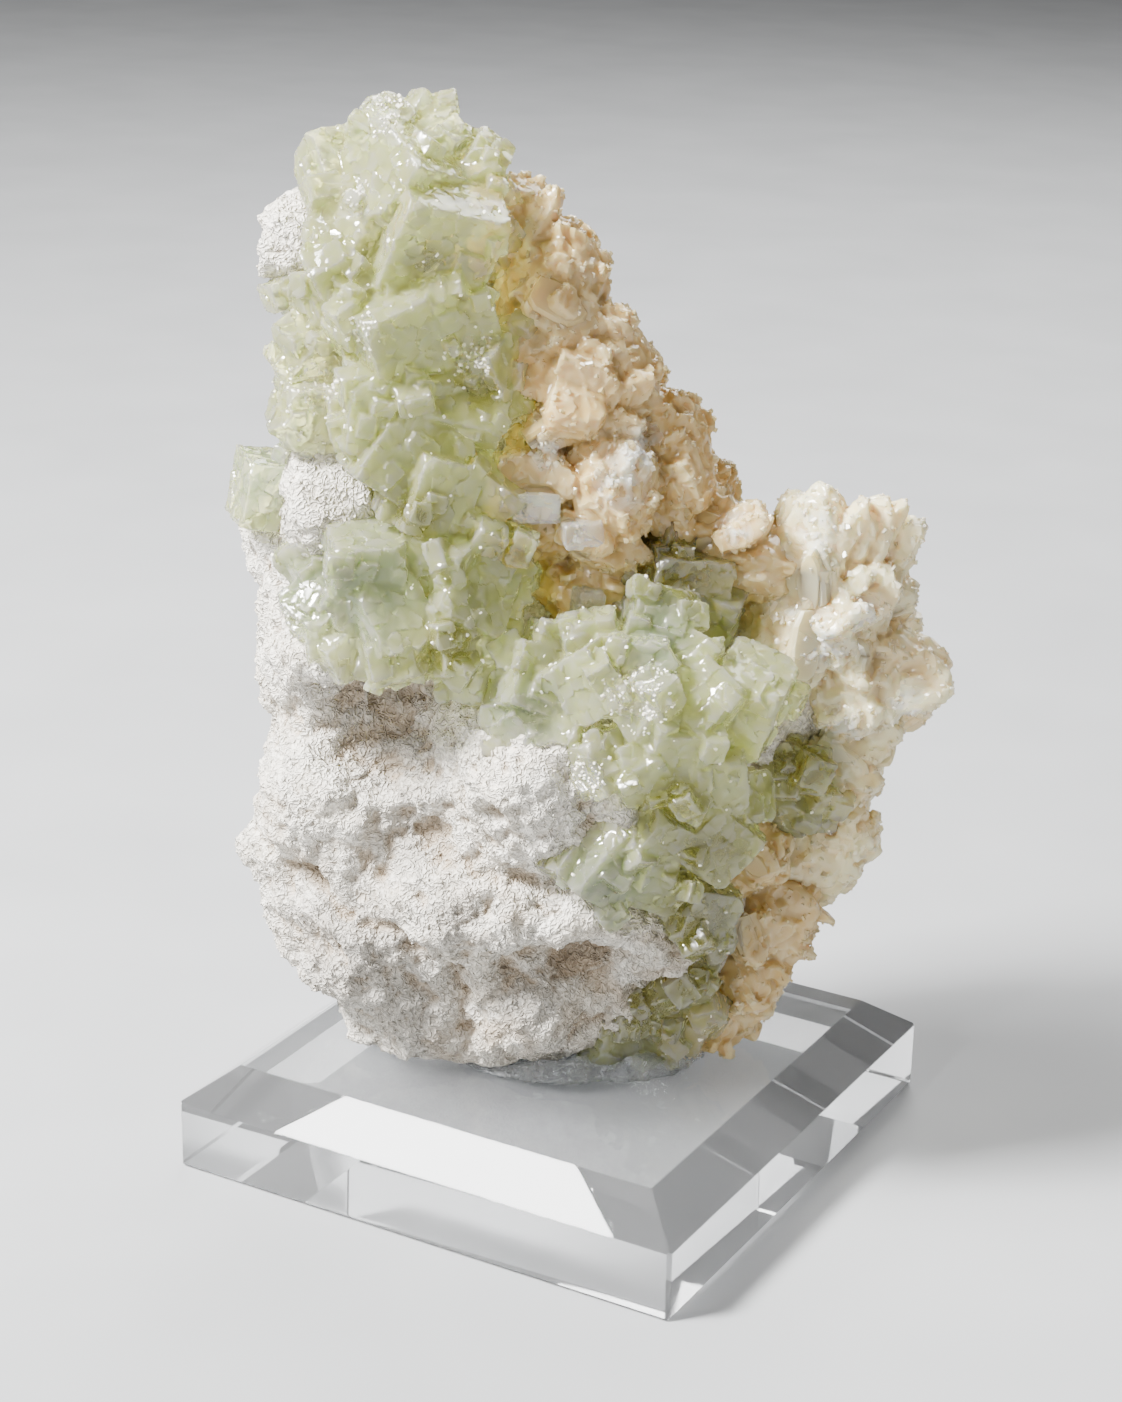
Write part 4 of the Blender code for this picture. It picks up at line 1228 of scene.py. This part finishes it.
# %% [markdown]
# Last comes the sugar, crystals of a millimetre and less that give the rims their fine saw-tooth. Each
# is a little block with one corner cut off. On the stilbite they take its own material. The same
# blocks serve the druse on the green crystals, where they are nearly white, since light doesn't get
# deep enough into one to take up colour.

# %% Sugar
SUGAR_CREAM = (0.95, 0.89, 0.76, 1)
SUGAR_WHITE = (0.97, 0.95, 0.87, 1)
GRAIN_SIZES = ((1.3, 0.6, 1.1), (0.9, 0.9, 1.0), (1.0, 0.5, 1.6))


def make_sugar():
    material, tree, shader = new_material("white_sugar")
    shade = mixed(tree, mottle(tree, 1.5, 0.35, 0.65), SUGAR_CREAM, SUGAR_WHITE)
    tree.links.new(shade, shader.inputs["Base Color"])
    polish = remap(tree, mottle(tree, 0.8, 0.35, 0.65), 0, 1, 0.1, 0.35)
    tree.links.new(polish, shader.inputs["Roughness"])
    return material


sugar = make_sugar()


def make_grain(number, size):
    """Small block around the origin with one corner cut off."""
    draw = random.Random(number)
    bm = bmesh.new()
    bmesh.ops.create_cube(bm, size=1, matrix=Matrix.Diagonal((*size, 1)))
    way = Vector([draw.uniform(0.5, 1) for _ in range(3)]).normalized()
    clip(bm, Vector(size) * 0.36, way)
    bmesh.ops.recalc_face_normals(bm, faces=bm.faces)
    return from_bmesh(f"grain_{number}", bm)


grains = shape_collection("grains", [make_grain(*row) for row in enumerate(GRAIN_SIZES)])

# %% Grow the stilbite
CRISP_DEGREES = 26
# node, lumps, blades, seed, how pale
STILBITE = (
    ("stilbite_slab", SLAB_LUMPS, SLAB_BLADES, 11, 0.1),
    ("stilbite_spray", SPRAY_LUMPS, SPRAY_BLADES, 12, 0.85),
    ("stilbite_lower_crust", CRUST_LUMPS, CRUST_BLADES, 13, 0.15),
)
for node, lumps, rows, seed, pale in STILBITE:
    crust = make_crust(node + "_blades", lumps, rows, seed, pale)
    finish(make_steps(node + "_steps", rows, seed, pale), peach, "stilbite", smooth=False)
    pearly = broken_spots(points_of(crust), PEARL_AND_SHEEN_SPOTS, 2.4, -0.1, 0.2, 50.0)
    small = scatter(
        node + "_sugar", crust, np.maximum(0.35 * recall(crust, "rim"), pearly), grains, peach,
        Closest=0.65, Density=1.6, Smallest=0.35, Largest=0.95, Sink=0.1, Tilt=0.7, Seed=seed,
    )
    finish(crust, peach, "stilbite", node, crisp=CRISP_DEGREES)
    finish(small, peach, "stilbite", smooth=False)

# %% [markdown]
# ## Apophyllite
#
# Apophyllite grows blocky crystals that look like cubes, with small slanting faces across their
# corners. Here they are pale green, mint where light passes and olive where they are deep, and olive
# is also painted into hollows as shade.
#
# Every crystal is a cube sliced by planes, like the block. The ones that show were surveyed one by
# one: place, side and, where they show well, turns. Smaller crystals are then sunk in the faces
# of each, most of them nearly parallel to it, since growth goes on in steps.

# %% Apophyllite rows
# x, z, depth, side; three turns in degrees where they were surveyed
COLUMN_CRYSTALS = (
    (-33, 184.5, -3, 11), (-25, 185, -2, 10.5, 35, -15, 10), (-40, 179, -4, 12),
    (-29, 179, -10, 15, 30, 20, 45), (-18.5, 177, -5, 12, 15, -25, 20),
    (-24, 170, -13, 18, 25, 15, 20), (-38, 170, -10, 12), (-14.5, 169, -5, 10),
    (-38, 161, -13, 12), (-25, 161, -15, 11), (-43.5, 157, -5, 11),
    (-31, 153, -17, 16, 15, -20, 25), (-45, 148, -7, 10.5, 30, 20, 45),
    (-18.5, 154.5, -15, 9, 10, -20, 15), (-14, 146, -12, 13), (-19, 140, -14, 13),
    (-33, 138.5, -18, 13, 5, 5, 12), (-26.5, 140, -17, 11, 10, 10, 30),
    (-31, 130, -18, 12, 0, 35, 20), (-22.5, 132, -17, 9),
    (-45, 138, -10, 10.5, 10, 5, 20), (-45.5, 131.5, -9, 7.5),
    (-24, 124, -19, 13), (-15, 124, -16, 10), (-14.5, 114, -17, 11),
    (-22, 112, -20, 11), (-9.5, 110, -13, 7), (-19, 104, -20, 12),
    (-46, 111.5, -12, 8), (-36.5, 109, -20, 14, 10, 0, 15),
    (-43, 101, -18, 12), (-33, 100, -23, 13), (-40, 95, -22, 9),
    (-30, 94, -24, 10), (-21, 97, -22, 12), (-17.5, 91, -21, 9), (-12, 101, -17, 8),
)
BOW_CRYSTALS = (
    (-7, 88, -25, 12), (-9, 82, -26, 9), (-2, 94, -21, 10), (15.5, 100, -20, 11, 60, 15, 10),
    (5, 97, -23, 9), (13, 93, -27, 10), (5, 89, -29, 11), (21, 93, -24, 10),
    (14, 86, -31, 11), (32.5, 86, -24, 14, 15, 20, -15), (25, 86, -28, 11),
    (19.5, 78.5, -31, 11, 25, 10, 20), (7, 74, -32, 10), (13, 73, -32, 11),
    (27, 71.5, -28, 11, 10, -8, 12), (20, 69, -29, 9), (16.5, 60, -29, 10, 20, 30, 30),
    (27, 60, -25, 13, 10, 40, 20), (7, 54, -28, 13, 15, 35, 40),
    (17.5, 51.5, -27, 11, 30, 20, 10), (25, 45, -23, 11, 10, 20, 35), (0, 81, -28, 9),
    (32, 67, -23, 9),
)
SHADED_CRYSTALS = (
    (20, 109, -10, 13, 5, 10, 15), (14, 106, -12, 9), (26, 105, -10, 9), (18, 116, -8, 9),
)
POCKET_CRYSTALS = ((43, 73, -8, 10), (46, 68, -7, 9), (39.5, 74, -9, 7), (42, 65.5, -8, 8))
FOOT_CRYSTALS = (
    (10.5, 20.5, -14, 11, 5, 15, 30), (14, 27.5, -13, 9), (6.5, 17.5, -14, 7),
    (21, 30, -14, 12), (19, 21.5, -13, 11), (25.5, 35, -14, 9), (27, 40, -17, 8),
    (26, 24, -12, 9),
)
CLUSTERS = {
    "apophyllite_column": COLUMN_CRYSTALS,
    "apophyllite_bow_cluster": BOW_CRYSTALS,
    "apophyllite_shaded_cluster": SHADED_CRYSTALS,
    "apophyllite_pocket_cluster": POCKET_CRYSTALS,
    "apophyllite_foot_cluster": FOOT_CRYSTALS,
}
print("surveyed crystals:", sum(len(rows) for rows in CLUSTERS.values()))

# %% Crystal shapes
SIDE_RANGE = (0.85, 1.1)
TURN_RANGE = (-40, 40)
CUT_RANGE = (0.04, 0.13)


def add_crystal(bm, middle, side, rotation, stretch, draw):
    """Adds a near-cubic crystal with cut corners to bm."""
    own = bmesh.new()
    bmesh.ops.create_cube(own, size=side, matrix=Matrix.Diagonal((*stretch, 1)))
    for corner in product((-1, 1), repeat=3):
        reach = Vector([sign * side / 2 * long for sign, long in zip(corner, stretch)])
        normal = Vector(corner).normalized()
        clip(own, reach - normal * side * draw.uniform(*CUT_RANGE), normal)
    bmesh.ops.transform(own, matrix=Matrix.Translation(middle) @ rotation.to_4x4(), verts=own.verts)
    bmesh.ops.recalc_face_normals(own, faces=own.faces)
    mesh = bpy.data.meshes.new("crystal")
    own.to_mesh(mesh)
    own.free()
    bm.from_mesh(mesh)
    bpy.data.meshes.remove(mesh)


# %% [markdown]
# The rows' chance draws follow the same order as the solids, so each fine crystal lies on the plain
# one that it stands for. The small ones that are added use draws of their own.
#
# Overlapping glass shells would each bend and dim the light again, so each cluster becomes one skin, by
# a remesh in cells of about a third of a millimetre. No crystal face is one flat mirror, so the flats
# are broken into facets that tilt by a hair. Then the mesh is thinned to half its triangles, which
# keeps them along the edges, and edges past a set angle are shaded crisp.

# %% Apophyllite clusters
DAUGHTER_EVERY = 4
DAUGHTER_SHARE = 0.55
DAUGHTER_RANGE = (0.7, 1.1)
DAUGHTER_OFFSET_SHARE = 0.5
CORNERS = 8
SMALL_ONES = 14
SMALL_SHARE_RANGE = (0.14, 0.46)
SMALL_STRETCH_RANGE = (0.75, 1.3)
NEARLY_PARALLEL = 0.75
CRYSTAL_CELL = 0.36
CRYSTAL_KEPT = 0.46


def random_turn(draw):
    """Three turns in radians."""
    return [radians(draw.uniform(*TURN_RANGE)) for _ in range(3)]


def add_small_ones(bm, middle, side, rotation, draw):
    """Small crystals sunk in the faces of a large one, most of them nearly parallel to it."""
    for _ in range(SMALL_ONES):
        size = side * draw.uniform(*SMALL_SHARE_RANGE)
        place = [draw.uniform(-0.5, 0.5) * side for _ in range(3)]
        face = draw.randrange(3)
        place[face] = draw.choice((-1, 1)) * (side * draw.uniform(0.47, 0.53) - size * 0.33)
        near = Euler([radians(draw.gauss(0, 7)) for _ in range(3)]).to_matrix()
        parallel = draw.random() < NEARLY_PARALLEL
        turned = rotation @ near if parallel else Euler(random_turn(draw)).to_matrix()
        long = [draw.uniform(*SMALL_STRETCH_RANGE) for _ in range(3)]
        add_crystal(bm, middle + rotation @ Vector(place), size, turned, long, draw)


def make_cluster(name, rows, seed):
    """Surveyed crystals, a daughter on every fourth and small ones on each, grown together."""
    survey = random.Random(seed)
    extra = random.Random(seed + 100)
    bm = bmesh.new()
    for number, (x, z, depth, side, *turn) in enumerate(rows):
        middle = seen(x, z, depth)
        turned = [radians(angle) for angle in turn] or random_turn(survey)
        stretch = [survey.uniform(*SIDE_RANGE) for _ in range(3)]
        for _ in range(CORNERS):
            survey.random()
        rotation = Euler(turned).to_matrix()
        add_crystal(bm, middle, side, rotation, stretch, extra)
        if number % DAUGHTER_EVERY == 0:
            way = Vector((survey.uniform(-1, 1), survey.uniform(-0.9, 0), survey.uniform(-1, 1)))
            small = side * DAUGHTER_SHARE * survey.uniform(*DAUGHTER_RANGE)
            beside = middle + way.normalized() * side * DAUGHTER_OFFSET_SHARE
            daughter = Euler(random_turn(survey)).to_matrix()
            for _ in range(CORNERS):
                survey.random()
            add_crystal(bm, beside, small, daughter, (1, 1, 1), extra)
        add_small_ones(bm, middle, side, rotation, extra)
    return grown_together(from_bmesh(name, bm), CRYSTAL_CELL, CRYSTAL_KEPT)


def grown_together(piece, cell, kept):
    """One skin with faceted flats, and the masks that the crystal material reads."""
    remesh(piece, cell)
    soften(piece, 1, 0.25)
    points, normals = points_of(piece), normals_of(piece)
    points += normals * facets(points, FACET_MM, FACET_SLOPE)[:, None]
    points[:, 2] = np.maximum(points[:, 2], FOOT_LEVEL)
    move_points(piece, points)
    thin_out(piece, kept)
    points = points_of(piece)
    # The frost mask holds a painted highlight on convex rims, as well as the frosted spots and faint haze
    # patches.
    rim = 0.6 * np.clip(-hollowness(piece, 3) / cell * 4.0 - 0.3, 0, 1)
    crust = broken_spots(points, FROSTED_SPOTS, 2.0, -0.35, 0.1, 60.0)
    haze = 0.3 * patches(points, 4.0, 0.15, 0.6, 70.0)
    store(piece, "frost_and_highlight", np.maximum(rim, np.maximum(crust, haze)))
    # painted shade: deep hollows turn olive
    deep = 0.8 * np.clip(hollowness(piece, 20) * 0.8, 0, 1)
    store(piece, "olive_and_shade", np.maximum(deep, near_spots(points, OLIVE_AND_SHADE_SPOTS)))
    store(piece, "teal", near_spots(points, TEAL_SPOTS))
    return piece


# %% [markdown]
# The material is clear crystal in the plain sense: transmission, an index of 1.535 and an absorption
# that takes a little red and more blue out of the light, so depth makes it greener by itself. What is
# milky comes from the rest of the shader: part of the light doesn't go through but scatters just
# under the surface. Hollows are painted olive as shade. Some surveyed spots are olive too, partly the
# crystals' own tone and partly painted shade, and others teal. Rims are painted white as a highlight,
# and a few patches are frosted white.

# %% Green crystal
MINT = (0.86, 0.90, 0.50, 1)
# this olive serves the crystals' own tone and also paints shade in hollows
OLIVE_AND_SHADE = (0.43, 0.41, 0.11, 1)
TEAL = (0.58, 0.67, 0.45, 1)
# this white also paints a highlight on rims
FROST_AND_HIGHLIGHT = (0.95, 0.94, 0.82, 1)
APOPHYLLITE_IOR = 1.535
FACET_MM = 2.4
FACET_SLOPE = 0.26
SCATTER_RADIUS = (0.9, 1.0, 0.6)
SCATTER_REACH = 0.004
# olive spots: partly the crystals' own tone, partly painted shade
# x, z, reach
OLIVE_AND_SHADE_SPOTS = (
    (-27, 121, 7), (-21, 98, 8), (20, 71, 9), (27, 60, 13), (25, 46, 12), (20, 109, 11),
    (44, 71, 11), (-25, 165, 5), (-16, 142, 6), (-10, 114, 6), (14, 24, 12), (24, 34, 12),
)
TEAL_SPOTS = (
    (-36, 107, 13), (-46, 104, 10), (7, 54, 12), (-53, 124, 12), (-7, 86, 9), (16, 100, 8),
)
FROSTED_SPOTS = (
    (-33, 188, 5), (-37, 174, 5), (-36, 153, 4), (12, 92, 8), (-18, 148, 6), (-44, 140, 5),
    (4, 78, 5),
)


def make_crystal_material(name, light, see_through, scattered, absorbed, density):
    """Clear crystal: its lit colour, its shares let through and scattered, and its absorption."""
    material, tree, shader = new_material(name)
    frost_and_highlight = named(tree, "frost_and_highlight")
    # painted shade: hollows, and partly the surveyed spots, turn olive
    toned = mixed(tree, named(tree, "olive_and_shade"), light, OLIVE_AND_SHADE)
    cooled = mixed(tree, named(tree, "teal"), toned, TEAL)
    # painted highlight: rims turn white through the frost mask, which also holds real frost
    tree.links.new(mixed(tree, frost_and_highlight, cooled, FROST_AND_HIGHLIGHT), shader.inputs["Base Color"])
    tree.links.new(remap(tree, frost_and_highlight, 0.0, 0.8, 0.03, 0.35), shader.inputs["Roughness"])
    shader.inputs["Transmission Weight"].default_value = see_through
    shader.inputs["IOR"].default_value = APOPHYLLITE_IOR
    shader.inputs["Subsurface Weight"].default_value = scattered
    shader.inputs["Subsurface Radius"].default_value = SCATTER_RADIUS
    shader.inputs["Subsurface Scale"].default_value = SCATTER_REACH
    absorption = put(tree, "ShaderNodeVolumeAbsorption", {"Color": absorbed, "Density": density})
    tree.links.new(absorption.outputs[0], tree.nodes["Material Output"].inputs["Volume"])
    return material


green_crystal = make_crystal_material(
    "green_apophyllite", MINT, 0.83, 0.8, (0.91, 0.93, 0.50, 1), 35.0
)

# %% Grow the apophyllite, and a druse of tiny crystals, most of it where it is frosted
DRUSE_EVERYWHERE = 0.015
for seed, (name, rows) in enumerate(CLUSTERS.items()):
    cluster = make_cluster(name + "_crystals", rows, seed)
    frosted = broken_spots(points_of(cluster), FROSTED_SPOTS, 2.0, -0.1, 0.2, 60.0)
    druse = scatter(
        name + "_druse", cluster, np.maximum(frosted, DRUSE_EVERYWHERE), grains, sugar,
        Closest=0.55, Density=2.5, Smallest=0.25, Largest=0.6, Sink=0.05, Tilt=0.7, Seed=seed + 30,
    )
    finish(cluster, green_crystal, "apophyllite", name, crisp=CRISP_DEGREES)
    finish(druse, sugar, "apophyllite", smooth=False)

# %% [markdown]
# ## The single crystals
#
# One pale crystal sticks out at the left edge. Three stubby, nearly colourless ones sit alone on the
# peach crust. They are the same mineral with hardly any green in it, so they share the material's
# recipe with paler values, and are made from copies of their solids.

# %% Single crystals
SINGLE_CELL = 0.3
SINGLE_KEPT = 0.5
clear_crystal = make_crystal_material(
    "clear_apophyllite", (0.98, 0.97, 0.90, 1), 0.85, 0.5, (0.94, 0.95, 0.82, 1), 20.0
)
# node, name, material, slot
SINGLES = (
    ("apophyllite_corner_crystal", "corner_crystal", green_crystal, "apophyllite"),
    ("clear_crystal_flat", "flat_clear_crystal", clear_crystal, "clear_crystal"),
    ("clear_crystal_low", "low_clear_crystal", clear_crystal, "clear_crystal"),
    ("clear_crystal_upright", "upright_clear_crystal", clear_crystal, "clear_crystal"),
)
for node, name, material, slot in SINGLES:
    single = grown_together(copy_solid(node, name), SINGLE_CELL, SINGLE_KEPT)
    finish(single, material, slot, node, crisp=CRISP_DEGREES)

# %% [markdown]
# ## Glue
#
# The foot is bedded in a blob of clear setting glue, squeezed out in lobes. It is a soft form, so a
# copy of its solid is remeshed, smoothed and given slow swells. Its material is a cloudy clear
# plastic.

# %% Glue
GLUE_CELL = 0.7
GLUE_SWELL = 0.7
GLUE_SWELL_SIZE = 5.0
GLUE_GAP = 0.02
GLUE_IOR = 1.47
GLUE_CLOUDY = (0.90, 0.94, 0.97, 1)
GLUE_CLEAR = (0.97, 0.98, 0.98, 1)


def make_glue():
    piece = copy_solid("mounting_glue", "glue_blob")
    remesh(piece, GLUE_CELL)
    soften(piece, 6)
    points, normals = points_of(piece), normals_of(piece)
    points += normals * (GLUE_SWELL * swells(points, GLUE_SWELL_SIZE))[:, None]
    points[:, 2] = np.maximum(points[:, 2], BLOCK_HEIGHT + GLUE_GAP)
    move_points(piece, points)
    return piece


def make_glue_material():
    material, tree, shader = new_material("clear_glue")
    cloud = mottle(tree, 4, 0.35, 0.7)
    tree.links.new(mixed(tree, cloud, GLUE_CLOUDY, GLUE_CLEAR), shader.inputs["Base Color"])
    tree.links.new(remap(tree, cloud, 0, 1, 0.06, 0.3), shader.inputs["Roughness"])
    shader.inputs["Transmission Weight"].default_value = 0.85
    shader.inputs["IOR"].default_value = GLUE_IOR
    bumped(tree, shader, grit(tree, 2.4, 0.5, 0.4), 0.25)
    return material


finish(make_glue(), make_glue_material(), "glue", "mounting_glue")

# %% [markdown]
# ## Clearing up
#
# The small shapes that only the scatters read are removed.

# %% Remove the scatter shapes
for leftover in [shape for group in (tufts, grains) for shape in group.objects]:
    bpy.data.objects.remove(leftover, do_unlink=True)
